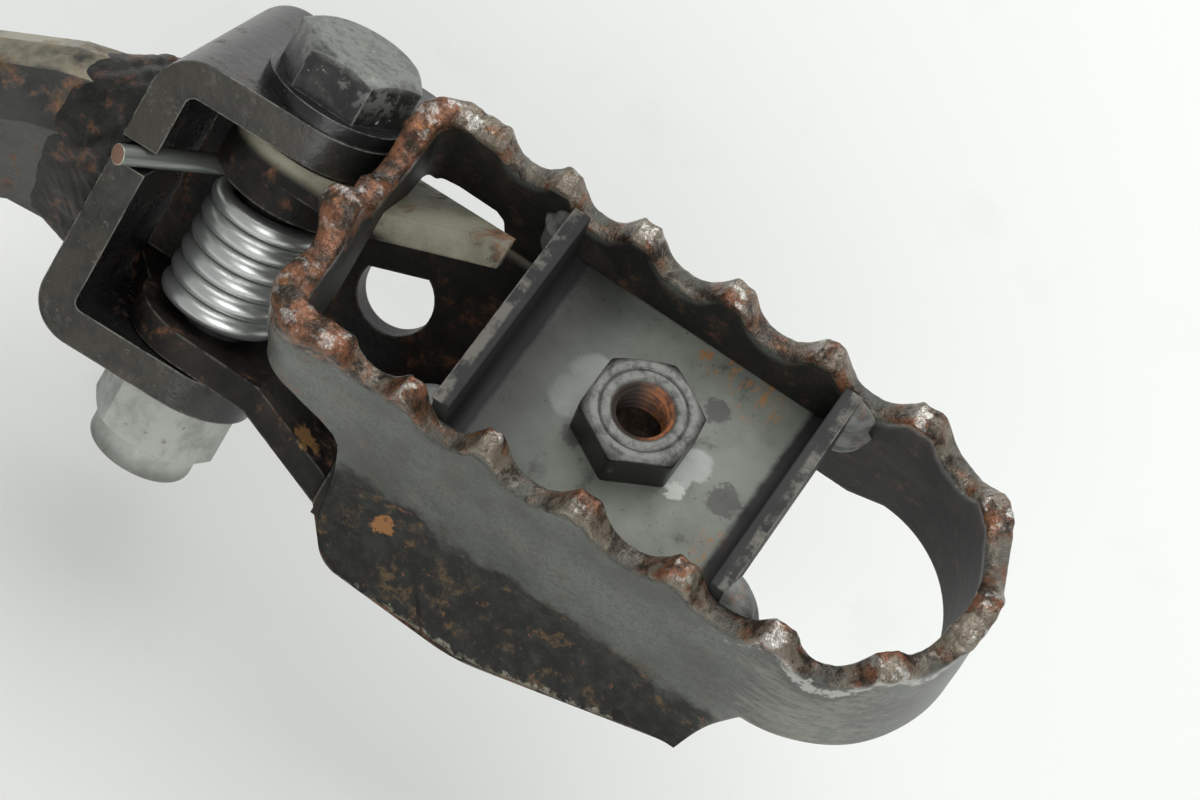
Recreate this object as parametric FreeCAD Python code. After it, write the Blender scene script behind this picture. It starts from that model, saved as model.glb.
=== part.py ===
import FreeCAD, Part
import math
import os

from FreeCAD import Placement, Rotation, Vector

# Folding motorcycle footrest on its bracket, right-hand side.
# Sizes are in millimetres and angles in degrees. X points outboard, Y forward and Z up.
# The origin is the middle of the frame plate's mounting face.

# Frame plate and arm
PLATE_HEIGHT = 92.0
PLATE_WIDTH = 42.0
PLATE_THICKNESS = 8.0
PLATE_CORNER = 9.0
PLATE_BOLT_SPACING = 66.0
PLATE_BOLT_HOLE = 10.5
ARM_LENGTH = 58.0
ARM_NECK = 15.0            # from the clevis to the neck, where the flare ends
ARM_WIDTH = 30.6
ARM_DEPTH = 22.0
ARM_RIDGE = 10.0           # width of the flat along the arm's top
ARM_SLOPE = 12.0           # drop of the long sloping facet beside the ridge
ARM_SIDE = 4.5             # height of the short upright face on the ridge's side
ARM_FLARE = 3.0            # how much wider the arm is at the clevis
ARM_NECK_SHIFT = -3.0      # the neck lies this far along the pivot from the clevis's middle
ARM_DROP = 1.0             # the arm's middle lies this far below the pivot's level
ARM_BEAD = 3.0

# Clevis, folded from one plate
CLEVIS_GAP = 40.0
CLEVIS_PLATE = 6.0
CLEVIS_ABOVE = 14.5        # from the pivot to the upper edge
CLEVIS_BELOW = 28.0
CLEVIS_BEND = 1.5
CLEVIS_DEPTH = 17.4        # pivot axis to the inside of the web
EAR_ROUND = 12.4           # round end about the pivot, inside the ring's sweep
EAR_LOWER_ROUND = 5.0

# Pivot bolt, washer and lock nut
PIVOT_LEAN = 50.0          # the pivot axis rises this much from Y towards Z
PIVOT_FORWARD = 15.0
PIVOT_RISE = 19.5
PIVOT_DIAMETER = 12.0
PIVOT_FIT = 0.05           # radial running clearance
BOLT_ACROSS_FLATS = 19.0
BOLT_HEAD_HEIGHT = 8.0
BOLT_END_BEYOND_NUT = 0.5
WASHER_DIAMETER = 24.0
WASHER_THICKNESS = 2.5
LOCK_NUT_ACROSS_FLATS = 19.0
LOCK_NUT_HEX = 10.5
LOCK_NUT_COLLAR = 5.0
LOCK_NUT_COLLAR_ROUND = 1.8
LOCK_NUT_LIP = 0.8
INSERT_DIAMETER = 14.6

# Return spring
WIRE_DIAMETER = 3.4
COIL_DIAMETER = 17.1       # mean
COIL_TURNS = 6
COIL_AIR = 0.04            # between close turns
COIL_START = 8.3           # along the pivot from its middle, at the bracket leg
LEG_TIP_PAST_WEB = 4.7     # beyond the inside of the clevis's web
LEG_TIP_PROUD = 2.2        # above the clevis's upper edge
LEG_TIP_ALONG = 6.6        # along the pivot from its middle
FOOT_LEG_LENGTH = 24.0
LEG_CLEARANCE = 0.1

# Hinge base of the footrest
LUG_SIDE_CLEARANCE = 0.4
LUG_PLATE = 4.8
LUG_ROUND = 12.0
LUG_SPLAY = 21.0
LUG_SPLAY_START = 13.6
LUG_TO_SADDLE = 4.5
LUG_TAPER_START = 9.0      # where the far lug's lower edge starts to rise
HEEL_CLEARANCE = 0.3
HEEL_HEIGHT = 7.0
BOSS_CLEARANCE = 0.3       # between the far lug's boss and the coil
BASE_FLOOR = 4.5
BASE_FLOOR_END = 9.0       # how far the floor runs on past the lugs
DRAIN_DIAMETER = 12.8
DRAIN_REACH = 21.5
DRAIN_ALONG = 1.0
DRAIN_FLAT = 4.0           # from the drain's middle to its flat side
FLANGE_LEVEL = 14.5        # top of the flange above the pivot
FLANGE_THICKNESS = 4.0
FLANGE_WIDTH = 14.0
FLANGE_TIP_WIDTH = 5.0
FLANGE_CORNER = 6.0
FLANGE_BELLY = 30.0
GUSSET_ROUND = 10.0

# Tread ring, one bent and toothed strip
TREAD_RISE = 32.5          # tooth crests above the pivot
HINGE_TO_RING = 13.0       # pivot axis to the ring's inboard face
RING_LENGTH = 113.2
RING_WIDTH = 47.2
RING_STRIP = 3.8
RING_CORNER = 6.5
SKIRT_INBOARD = 18.0
SKIRT_TIP = 27.5
SKIRT_FAR = 30.0
SKIRT_NEAR = 46.0          # before the strip is cut to sit on the flange
DEEP_START = 17.1          # from the ring's inboard face
DEEP_TO_TIP = 3.5          # from the deep stretch's end to the tip's round
DEEP_ROUND = 5.0
TOOTH_PITCH = 16.9
TOOTH_DEPTH = 5.8
SCOOP_RADIUS = 5.8
CREST_ROUND = 1.4
CREST_EDGE = 0.05          # the crests' rounding stops this far short of the flat
SIDE_SCOOPS = 6
CORNER_SCOOP = 18.5        # from the ring's inboard face
CORNER_SCOOP_RADIUS = 4.2
CORNER_SCOOP_DEPTH = 4.0
INBOARD_SCOOPS = (-9.2, 9.0)
INBOARD_SCOOP_DEPTH = 2.4

# Saddle and centre nut
SADDLE_START = 27.2        # from the ring's inboard face
SADDLE_TO_TIP = 10.6       # from the saddle's outboard face to the tip's round
SADDLE_PLATE = 2.9
SADDLE_BEND = 2.2
SADDLE_TOP_DROP = 3.0      # uprights' tops below the crests
SADDLE_FLOOR_DROP = 15.4
SADDLE_BEAD = 5.0
NUT_ACROSS_FLATS = 17.0
NUT_TURN = 30.0
NUT_HEIGHT = 8.0
NUT_BORE = 8.5
NUT_PILOT_HOLE = 10.5
NUT_GROOVE = 13.6
NUT_GROOVE_SIZE = 0.5

# Derived places
PIVOT_REACH = PLATE_THICKNESS + ARM_LENGTH + CLEVIS_PLATE + CLEVIS_DEPTH
PIVOT = Vector(PIVOT_REACH, PIVOT_FORWARD, PIVOT_RISE)
HINGE = Placement(PIVOT, Rotation(Vector(1, 0, 0), PIVOT_LEAN))
CREST = PIVOT_RISE + TREAD_RISE
RING_BACK = PIVOT_REACH + HINGE_TO_RING
EAR_INSIDE = CLEVIS_GAP / 2
EAR_OUTSIDE = EAR_INSIDE + CLEVIS_PLATE
WEB_BACK = -(CLEVIS_DEPTH + CLEVIS_PLATE)
HOLE_RADIUS = PIVOT_DIAMETER / 2 + PIVOT_FIT
LUG_OUTSIDE = EAR_INSIDE - LUG_SIDE_CLEARANCE
COIL_RADIUS = COIL_DIAMETER / 2
WIRE_RADIUS = WIRE_DIAMETER / 2
FLOOR_TOP = -(COIL_RADIUS + WIRE_RADIUS + LEG_CLEARANCE)
FLOOR_BOTTOM = FLOOR_TOP - BASE_FLOOR
TIP_ROUND_START = RING_LENGTH - RING_WIDTH / 2
DEEP_END = TIP_ROUND_START - DEEP_TO_TIP
SADDLE_LENGTH = TIP_ROUND_START - SADDLE_TO_TIP - SADDLE_START
SADDLE_MIDDLE = SADDLE_START + SADDLE_LENGTH / 2
LUG_LENGTH = HINGE_TO_RING + SADDLE_START - LUG_TO_SADDLE
ALL_ROUND = 400.0          # longer than anything that is cut


# Flat outlines and the solids drawn from them

def outline(corners):
    """Closed face through corners (u, v, radius), each corner rounded by its own radius."""
    points = [Vector(u, v, 0) for u, v, _ in corners]
    edges = []
    ends = []
    for i, here in enumerate(points):
        radius = corners[i][2]
        back = (points[i - 1] - here).normalize()
        ahead = (points[(i + 1) % len(points)] - here).normalize()
        if radius == 0:
            ends.append((here, here))
            continue
        half = back.getAngle(ahead) / 2
        trim = radius / math.tan(half)
        middle = here + (back + ahead).normalize() * (radius / math.sin(half) - radius)
        ends.append((here + back * trim, here + ahead * trim))
        edges.append((i, Part.Arc(ends[i][0], middle, ends[i][1]).toShape()))
    arcs = dict(edges)
    loop = []
    for i, (start, end) in enumerate(ends):
        if i in arcs:
            loop.append(arcs[i])
        following = ends[(i + 1) % len(ends)][0]
        if (following - end).Length > 1e-6:
            loop.append(Part.LineSegment(end, following).toShape())
    return Part.Face(Part.Wire(loop))


def plan_prism(corners, low, high):
    """Solid with its outline in X and Y, from height low to high."""
    face = outline(corners)
    face.translate(Vector(0, 0, low))
    return face.extrude(Vector(0, 0, high - low))


def side_prism(corners, low, high):
    """Solid with its outline in X and Z, between two places along Y."""
    face = outline(corners)
    face.Placement = Placement(Vector(0, low, 0), Rotation(Vector(1, 0, 0), 90))
    return face.extrude(Vector(0, high - low, 0))


def front_prism(corners, low, high):
    """Solid with its outline in Y and Z, between two places along X."""
    face = outline(corners)
    face.Placement = Placement(Vector(low, 0, 0), Rotation(Vector(1, 1, 1), 120))
    return face.extrude(Vector(high - low, 0, 0))


def slab(x, y, z):
    """Box between the two values of each pair."""
    size = [pair[1] - pair[0] for pair in (x, y, z)]
    return Part.makeBox(*size, Vector(x[0], y[0], z[0]))


def rod(radius, start, end):
    """Round bar between two points."""
    run = end - start
    return Part.makeCylinder(radius, run.Length, start, run)


def hexagon_bar(across_flats, height, face_radius):
    """Hexagon standing on Z = 0, with its upper corners chamfered to a round face."""
    corner = across_flats / math.sqrt(3)
    turns = [math.radians(60 * i) for i in range(6)]
    bar = plan_prism([(corner * math.cos(a), corner * math.sin(a), 0) for a in turns], 0, height)
    slope = (corner - face_radius) * math.tan(math.radians(30))
    blank = Part.makeCylinder(corner, height - slope)
    cap = Part.makeCone(corner, face_radius, slope, Vector(0, 0, height - slope))
    return bar.common(blank.fuse(cap))


def on_pivot(shape, place, outward):
    """Turns a solid standing on Z = 0 along the pivot, outward 1 to the bolt head or -1 to the nut."""
    turned = shape.copy()
    turned.Placement = Placement(Vector(0, place, 0), Rotation(Vector(1, 0, 0), -90 * outward))
    return turned


def on_hinge(shape):
    """Carries a solid from the pivot's own axes to its place on the part."""
    placed = shape.copy()
    placed.Placement = HINGE.multiply(placed.Placement)
    return placed


# Bracket

def frame_plate():
    """Flat plate with two bolt holes, one above the other."""
    half_width = PLATE_WIDTH / 2
    half_height = PLATE_HEIGHT / 2
    plate = front_prism([(-half_width, -half_height, PLATE_CORNER), (half_width, -half_height, PLATE_CORNER),
                         (half_width, half_height, PLATE_CORNER), (-half_width, half_height, PLATE_CORNER)],
                        0, PLATE_THICKNESS)
    for side in (-1, 1):
        centre = Vector(0, 0, side * PLATE_BOLT_SPACING / 2)
        plate = plate.cut(rod(PLATE_BOLT_HOLE / 2, centre, centre + Vector(PLATE_THICKNESS, 0, 0)))
    return plate


def arm_section(reach, along_pivot, height, widening, grow=0.0):
    """Arm's outline square to X, in the pivot's axes: a ridge with one steep and one sloping side."""
    half_width = (ARM_WIDTH + widening) / 2 + grow
    half_depth = ARM_DEPTH / 2 + grow
    ridge = half_width - (ARM_WIDTH / 2 + grow - ARM_RIDGE) / 2
    shoulder = half_depth - ARM_SLOPE / 2
    keel = ridge - ARM_RIDGE / 2
    points = [(-half_width, -half_depth + ARM_SIDE), (-half_width + ARM_SIDE, -half_depth),
              (keel, -half_depth), (half_width, shoulder - ARM_SIDE), (half_width, shoulder),
              (ridge, half_depth), (ridge - ARM_RIDGE, half_depth), (-half_width, half_depth - ARM_SLOPE)]
    corners = [Vector(reach, along_pivot + u, height + v) for u, v in points]
    return Part.makePolygon(corners + corners[:1])


def arm_places():
    """The arm's middle at the clevis, the neck and the plate, as (reach, along pivot, height, widening)."""
    plate_middle = HINGE.inverse().multVec(Vector(PLATE_THICKNESS, 0, 0))
    at_clevis = (WEB_BACK, 0.0, -ARM_DROP, ARM_FLARE)
    at_neck = (WEB_BACK - ARM_NECK, ARM_NECK_SHIFT, -ARM_DROP, 0.0)
    at_plate = (plate_middle.x, plate_middle.y, plate_middle.z, 0.0)
    return at_clevis, at_neck, at_plate


def support_arm():
    """Bar from the plate to the clevis, flared where it meets the clevis."""
    return on_hinge(Part.makeLoft([arm_section(*place) for place in arm_places()], True, True))


def bead(start, towards, reach):
    """Collar round the arm that tapers to its skin over a length, from one place towards the next."""
    share = reach / abs(towards[0] - start[0])
    end = [a + (b - a) * share for a, b in zip(start, towards)]
    rings = [arm_section(*start, ARM_BEAD), arm_section(*end, ARM_BEAD / 4)]
    return on_hinge(Part.makeLoft(rings, True, True))


def arm_weld(arm, fork):
    """Bead where the arm meets the clevis, run on round the clevis's bends and clear of the spring's slot."""
    at_clevis, at_neck, _ = arm_places()
    over_bend = (at_clevis[0] + ARM_BEAD,) + at_clevis[1:]
    return bead(over_bend, at_neck, 3 * ARM_BEAD).cut([arm, fork, on_hinge(leg_slot())])


def plate_weld(arm):
    """Bead where the arm meets the frame plate."""
    _, at_neck, at_plate = arm_places()
    return bead(at_plate, at_neck, 2 * ARM_BEAD).cut(arm)


def clevis():
    """Plate folded into a U, with round-cornered ears, pivot holes and a slot for the spring's leg."""
    outer_bend = CLEVIS_BEND + CLEVIS_PLATE
    corner = math.hypot(WEB_BACK, CLEVIS_ABOVE)
    slope = math.acos(EAR_ROUND / corner) - math.atan2(-WEB_BACK, CLEVIS_ABOVE)
    ear_top = CLEVIS_ABOVE - (EAR_ROUND - WEB_BACK) * math.tan(slope)
    outside = plan_prism([(WEB_BACK, -EAR_OUTSIDE, outer_bend), (EAR_ROUND, -EAR_OUTSIDE, 0),
                          (EAR_ROUND, EAR_OUTSIDE, 0), (WEB_BACK, EAR_OUTSIDE, outer_bend)],
                         -CLEVIS_BELOW, CLEVIS_ABOVE)
    inside = plan_prism([(-CLEVIS_DEPTH, -EAR_INSIDE, CLEVIS_BEND), (ALL_ROUND, -EAR_INSIDE, 0),
                         (ALL_ROUND, EAR_INSIDE, 0), (-CLEVIS_DEPTH, EAR_INSIDE, CLEVIS_BEND)],
                        -CLEVIS_BELOW, CLEVIS_ABOVE)
    ears = side_prism([(WEB_BACK, -CLEVIS_BELOW, 0), (EAR_ROUND, -CLEVIS_BELOW, EAR_LOWER_ROUND),
                       (EAR_ROUND, ear_top, EAR_ROUND), (WEB_BACK, CLEVIS_ABOVE, 0)],
                      -EAR_OUTSIDE, EAR_OUTSIDE)
    folded = outside.cut(inside).common(ears)
    hole = rod(HOLE_RADIUS, Vector(0, -ALL_ROUND, 0), Vector(0, ALL_ROUND, 0))
    return on_hinge(folded.cut(hole).cut(leg_slot()))


def leg_slot():
    """Notch in the web's upper edge, where the spring's bracket leg lies on its inner corner."""
    start, tip = bracket_leg()
    run = (tip - start).normalize()
    at_web = start + run * ((-CLEVIS_DEPTH - start.x) / run.x)
    bottom = at_web.z - (WIRE_RADIUS + LEG_CLEARANCE) / abs(run.x)
    half_width = abs(at_web.y - tip.y) / 2 + WIRE_RADIUS + LEG_CLEARANCE
    middle = (at_web.y + tip.y) / 2
    return slab((WEB_BACK, -CLEVIS_DEPTH), (middle - half_width, middle + half_width), (bottom, CLEVIS_ABOVE))


def pivot_bolt():
    """Hexagon-headed bolt through both ears and both lugs."""
    under_head = EAR_OUTSIDE + WASHER_THICKNESS
    end = -(EAR_OUTSIDE + LOCK_NUT_HEX + LOCK_NUT_COLLAR + BOLT_END_BEYOND_NUT)
    head = hexagon_bar(BOLT_ACROSS_FLATS, BOLT_HEAD_HEIGHT, BOLT_ACROSS_FLATS * 0.47)
    shank = rod(PIVOT_DIAMETER / 2, Vector(0, end, 0), Vector(0, under_head, 0))
    return on_hinge(on_pivot(head, under_head, 1).fuse(shank).removeSplitter())


def bolt_washer():
    """Flat washer under the bolt head."""
    disc = Part.makeCylinder(WASHER_DIAMETER / 2, WASHER_THICKNESS)
    washer = disc.cut(Part.makeCylinder(HOLE_RADIUS, WASHER_THICKNESS))
    return on_hinge(on_pivot(washer, EAR_OUTSIDE, 1))


def lock_nut():
    """Hexagon nut with a round collar that is crimped over the locking ring."""
    height = LOCK_NUT_HEX + LOCK_NUT_COLLAR
    collar = Part.makeCylinder(LOCK_NUT_ACROSS_FLATS * 0.46, height)
    rim = [edge for edge in collar.Edges if edge.BoundBox.ZMin > height - LOCK_NUT_LIP]
    collar = collar.makeFillet(LOCK_NUT_COLLAR_ROUND, rim)
    body = hexagon_bar(LOCK_NUT_ACROSS_FLATS, LOCK_NUT_HEX, LOCK_NUT_ACROSS_FLATS * 0.48).fuse(collar)
    body = body.cut(Part.makeCylinder(HOLE_RADIUS, height))
    ring_room = Part.makeCylinder(INSERT_DIAMETER / 2, LOCK_NUT_COLLAR - LOCK_NUT_LIP)
    ring_room.translate(Vector(0, 0, LOCK_NUT_HEX))
    lip_hole = Part.makeCylinder(HOLE_RADIUS + LOCK_NUT_LIP, height)
    lip_hole.translate(Vector(0, 0, LOCK_NUT_HEX))
    return on_hinge(on_pivot(body.cut(ring_room).cut(lip_hole), -EAR_OUTSIDE, -1))


def lock_nut_insert():
    """Locking ring held in the nut's collar."""
    ring = Part.makeCylinder(INSERT_DIAMETER / 2, LOCK_NUT_COLLAR - LOCK_NUT_LIP)
    ring = ring.cut(Part.makeCylinder(HOLE_RADIUS, LOCK_NUT_COLLAR))
    return on_hinge(on_pivot(ring, -EAR_OUTSIDE - LOCK_NUT_HEX, -1))


def bracket_leg():
    """Ends of the leg on the bracket: where it leaves the coil, straight to its tip."""
    tip = Vector(-CLEVIS_DEPTH - LEG_TIP_PAST_WEB, LEG_TIP_ALONG, CLEVIS_ABOVE + LEG_TIP_PROUD)
    distance = math.hypot(tip.x, tip.z)
    turn = math.atan2(tip.z, tip.x) + math.acos(COIL_RADIUS / distance)
    start = Vector(COIL_RADIUS * math.cos(turn), COIL_START, COIL_RADIUS * math.sin(turn))
    return start, tip


def return_spring():
    """Close-wound torsion spring round the bolt, with one leg on the bracket and one in the base."""
    start, tip = bracket_leg()
    turn = math.degrees(math.atan2(start.z, start.x)) % 360
    sweep = COIL_TURNS * 360 + 270 - turn
    pitch = WIRE_DIAMETER + COIL_AIR
    rise = pitch * sweep / 360
    helix = Part.makeHelix(pitch, rise, COIL_RADIUS)
    along = Vector(0, 1, pitch / (math.pi * COIL_DIAMETER))
    section = Part.makeCircle(WIRE_RADIUS, Vector(COIL_RADIUS, 0, 0), along)
    coil = Part.Wire(helix).makePipeShell([Part.Wire(section)], True, True)
    coil.rotate(Vector(0, 0, 0), Vector(0, 0, 1), turn)
    laid_down = Placement(Vector(0, COIL_START, 0), Rotation(Vector(1, 0, 0), 90))
    coil.Placement = laid_down.multiply(coil.Placement)
    foot_start = Vector(0, COIL_START - rise, -COIL_RADIUS)
    foot_end = foot_start + Vector(FOOT_LEG_LENGTH, 0, 0)
    joint_radius = WIRE_RADIUS + COIL_AIR / 2
    joints = [Part.makeSphere(joint_radius, place, Vector(1, 0, 0)) for place in (start, foot_start)]
    legs = [rod(WIRE_RADIUS, start, tip), rod(WIRE_RADIUS, foot_start, foot_end)]
    return on_hinge(coil.fuse(joints + legs))


# Footrest

def lug_spread():
    """How far the lugs have splayed outwards at their ends."""
    return (LUG_LENGTH - LUG_SPLAY_START) * math.tan(math.radians(LUG_SPLAY))


def lug(side, lower_corners):
    """One lug: from above a strip that splays outwards, from the side a round-ended plate with a heel."""
    spread = lug_spread()
    heel = HEEL_CLEARANCE - CLEVIS_DEPTH
    inner = LUG_OUTSIDE - LUG_PLATE
    plan = [(heel, LUG_OUTSIDE - CLEVIS_BEND), (heel + CLEVIS_BEND, LUG_OUTSIDE),
            (LUG_SPLAY_START, LUG_OUTSIDE), (LUG_LENGTH, LUG_OUTSIDE + spread),
            (LUG_LENGTH, inner + spread), (LUG_SPLAY_START, inner), (heel, inner)]
    strip = plan_prism([(u, side * v, 0) for u, v in plan], FLOOR_BOTTOM, LUG_ROUND)
    width = LUG_OUTSIDE + spread
    profile = side_prism([(heel, FLOOR_BOTTOM, 0)] + lower_corners +
                         [(LUG_LENGTH, LUG_ROUND, 0), (-LUG_ROUND, LUG_ROUND, LUG_ROUND), (-LUG_ROUND, 0, 0),
                          (heel, FLOOR_BOTTOM + HEEL_HEIGHT, 0)], -width, width)
    return strip.common(profile)


def far_lug():
    """Lug on the bolt head's side: its lower edge rises to a slim end, and a boss reaches to the coil."""
    plate = lug(1, [(LUG_TAPER_START, FLOOR_BOTTOM, 0), (LUG_LENGTH, LUG_ROUND - LUG_PLATE / 2, 0)])
    face = COIL_START + WIRE_RADIUS + BOSS_CLEARANCE
    return plate.fuse(rod(LUG_ROUND, Vector(0, face, 0), Vector(0, LUG_OUTSIDE, 0)))


def base_floor():
    """Floor between the lugs from the heel outwards, with a round drain hole that has one flat side."""
    spread = lug_spread()
    half = LUG_OUTSIDE - LUG_PLATE / 2
    heel = HEEL_CLEARANCE - CLEVIS_DEPTH
    end = LUG_LENGTH + BASE_FLOOR_END
    floor = plan_prism([(heel, -half, 0), (LUG_SPLAY_START, -half, 0), (LUG_LENGTH, -half - spread, 0),
                        (end, -half / 2, 0), (end, half / 2, 0), (LUG_LENGTH, half + spread, 0),
                        (LUG_SPLAY_START, half, 0), (heel, half, 0)], FLOOR_BOTTOM, FLOOR_TOP)
    drain = Part.makeCylinder(DRAIN_DIAMETER / 2, BASE_FLOOR)
    flat_side = slab((-DRAIN_DIAMETER, DRAIN_DIAMETER), (-DRAIN_DIAMETER, DRAIN_FLAT), (0, BASE_FLOOR))
    drain = drain.common(flat_side)
    drain_middle = Vector(DRAIN_REACH, DRAIN_ALONG, FLOOR_BOTTOM)
    drain.Placement = Placement(drain_middle, Rotation(Vector(0, 0, 1), LUG_SPLAY))
    return floor.cut(drain)


def near_wall_on_flange():
    """Places along the pivot where the near wall's outer and inner faces meet the flange's top."""
    lean = math.radians(PIVOT_LEAN)
    outer = (-RING_WIDTH / 2 + FLANGE_LEVEL * math.sin(lean)) / math.cos(lean)
    return outer, outer + RING_STRIP / math.cos(lean)


def flange():
    """Lip under the near wall, square to the lugs, which tapers towards the tip."""
    wall_outer, wall_inner = near_wall_on_flange()
    start = HINGE_TO_RING + DEEP_START
    end = HINGE_TO_RING + DEEP_END
    widest = start + (end - start) * 0.45
    lip = wall_outer - FLANGE_WIDTH
    low = FLANGE_LEVEL - FLANGE_THICKNESS
    return plan_prism([(start, wall_inner, 0), (start, wall_outer - FLANGE_TIP_WIDTH, FLANGE_CORNER / 3),
                       (start + FLANGE_CORNER, lip + FLANGE_CORNER / 6, FLANGE_CORNER),
                       (widest, lip, FLANGE_BELLY),
                       (end - FLANGE_CORNER / 3, wall_outer - FLANGE_TIP_WIDTH, FLANGE_CORNER / 2),
                       (end, wall_inner, 0)], low, FLANGE_LEVEL)


def flange_web():
    """Gusset that carries the near lug up to the flange."""
    _, wall_inner = near_wall_on_flange()
    start = HINGE_TO_RING + DEEP_START
    outer = -LUG_OUTSIDE - lug_spread()
    end = HINGE_TO_RING + DEEP_END
    top = FLANGE_LEVEL - FLANGE_THICKNESS
    strip = plan_prism([(start, outer, 0), (LUG_LENGTH, outer, 0), (end, wall_inner - LUG_PLATE, 0),
                        (end, wall_inner, 0), (LUG_LENGTH, outer + LUG_PLATE, 0),
                        (start, outer + LUG_PLATE, 0)], FLOOR_BOTTOM, top)
    profile = side_prism([(start, FLOOR_BOTTOM, 0), (LUG_LENGTH, FLOOR_BOTTOM, GUSSET_ROUND),
                          (end, top - LUG_PLATE, 0), (end, top, 0), (start, top, 0)], outer, 0)
    return strip.common(profile)


def hinge_base():
    """Lugs, floor, gusset and flange of the folded base, trimmed to the far wall and drilled."""
    near_lug = lug(-1, [(LUG_LENGTH, FLOOR_BOTTOM, 0)])
    base = far_lug().fuse([near_lug, base_floor(), flange_web(), flange()]).removeSplitter()
    hole = rod(HOLE_RADIUS, Vector(0, -ALL_ROUND, 0), Vector(0, ALL_ROUND, 0))
    base = on_hinge(base.cut(hole))
    far_face = PIVOT_FORWARD + RING_WIDTH / 2 - RING_STRIP
    past_far_wall = slab((RING_BACK, RING_BACK + RING_LENGTH), (far_face, far_face + ALL_ROUND),
                         (-ALL_ROUND, CREST))
    return base.cut(past_far_wall)


def ring_outline(inset):
    """Corners of the ring seen from above: square inboard corners with a radius and a half-round tip."""
    back = RING_BACK + inset
    tip = RING_BACK + RING_LENGTH - inset
    half = RING_WIDTH / 2 - inset
    corner = RING_CORNER - inset
    return [(back, PIVOT_FORWARD - half, corner), (tip, PIVOT_FORWARD - half, half),
            (tip, PIVOT_FORWARD + half, half), (back, PIVOT_FORWARD + half, corner)]


def scoop(place, outward, radius, depth):
    """Cutter for one valley: a round scoop, square to the strip, whose sides roll over onto the crests."""
    reach = math.sqrt((radius + CREST_ROUND) ** 2 - (radius - depth + CREST_ROUND) ** 2)
    turn = math.acos(reach / (radius + CREST_ROUND))
    middle = (turn + math.pi / 2) / 2
    along = Vector(0, 0, 1).cross(outward)
    start = place - outward * (2 * RING_STRIP) + Vector(0, 0, CREST_EDGE)

    def at(u, v):
        return start + along * u + Vector(0, 0, v)

    def on_shoulder(side, angle):
        return at(side * (CREST_ROUND * math.cos(angle) - reach), CREST_ROUND * (math.sin(angle) - 1))

    shoulders = [Part.Arc(at(-side * reach, 0), on_shoulder(side, middle), on_shoulder(side, turn))
                 for side in (1, -1)]
    valley = Part.Arc(on_shoulder(1, turn), at(0, -depth), on_shoulder(-1, turn))
    rim = Part.makePolygon([at(-reach, 0), at(-reach, CREST_ROUND), at(reach, CREST_ROUND), at(reach, 0)])
    edges = [arc.toShape() for arc in shoulders + [valley]] + rim.Edges
    return Part.Face(Part.Wire(Part.__sortEdges__(edges))).extrude(outward * (4 * RING_STRIP))


def scoops():
    """All valleys: round the tip and along both sides at the tooth pitch, then those of the inboard end."""
    radius = (RING_WIDTH - RING_STRIP) / 2
    tip_middle = RING_BACK + RING_LENGTH - RING_WIDTH / 2
    quarter = radius * math.pi / 2
    cutters = []
    for side in (-1, 1):
        for i in range(SIDE_SCOOPS):
            run = (i + 0.5) * TOOTH_PITCH
            turn = min(run, quarter) / radius
            outward = Vector(math.cos(turn), side * math.sin(turn), 0)
            middle = Vector(tip_middle - max(run - quarter, 0), PIVOT_FORWARD, CREST)
            cutters.append(scoop(middle + outward * radius, outward, SCOOP_RADIUS, TOOTH_DEPTH))
        corner = Vector(RING_BACK + CORNER_SCOOP, PIVOT_FORWARD + side * radius, CREST)
        cutters.append(scoop(corner, Vector(0, side, 0), CORNER_SCOOP_RADIUS, CORNER_SCOOP_DEPTH))
    for offset in INBOARD_SCOOPS:
        place = Vector(RING_BACK + RING_STRIP / 2, PIVOT_FORWARD + offset, CREST)
        cutters.append(scoop(place, Vector(-1, 0, 0), SCOOP_RADIUS, INBOARD_SCOOP_DEPTH))
    return cutters


def tread_ring(base):
    """Toothed strip bent into a ring, deeper along its sides and cut to sit on the hinge base."""
    wall = plan_prism(ring_outline(0), CREST - SKIRT_NEAR, CREST)
    wall = wall.cut(plan_prism(ring_outline(RING_STRIP), CREST - SKIRT_NEAR, CREST))
    deep_start = RING_BACK + DEEP_START
    deep_end = RING_BACK + DEEP_END
    beyond = RING_BACK + RING_LENGTH
    skirt = side_prism([(RING_BACK, CREST, 0), (RING_BACK, CREST - SKIRT_INBOARD, 0),
                        (deep_start, CREST - SKIRT_INBOARD, DEEP_ROUND), (deep_start, CREST - SKIRT_NEAR, 0),
                        (deep_end, CREST - SKIRT_NEAR, 0), (deep_end, CREST - SKIRT_TIP, DEEP_ROUND / 2),
                        (beyond, CREST - SKIRT_TIP, 0), (beyond, CREST, 0)],
                       PIVOT_FORWARD - RING_WIDTH, PIVOT_FORWARD + RING_WIDTH)
    wall = wall.common(skirt)
    wall = wall.cut(slab((deep_start, deep_end), (PIVOT_FORWARD, PIVOT_FORWARD + RING_WIDTH),
                         (CREST - SKIRT_NEAR, CREST - SKIRT_FAR)))
    under_flange = slab((HINGE_TO_RING + DEEP_START, HINGE_TO_RING + DEEP_END), (-ALL_ROUND, 0),
                        (-ALL_ROUND, FLANGE_LEVEL))
    wall = wall.cut(on_hinge(under_flange))
    return wall.cut(scoops()).cut(base)


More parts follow.
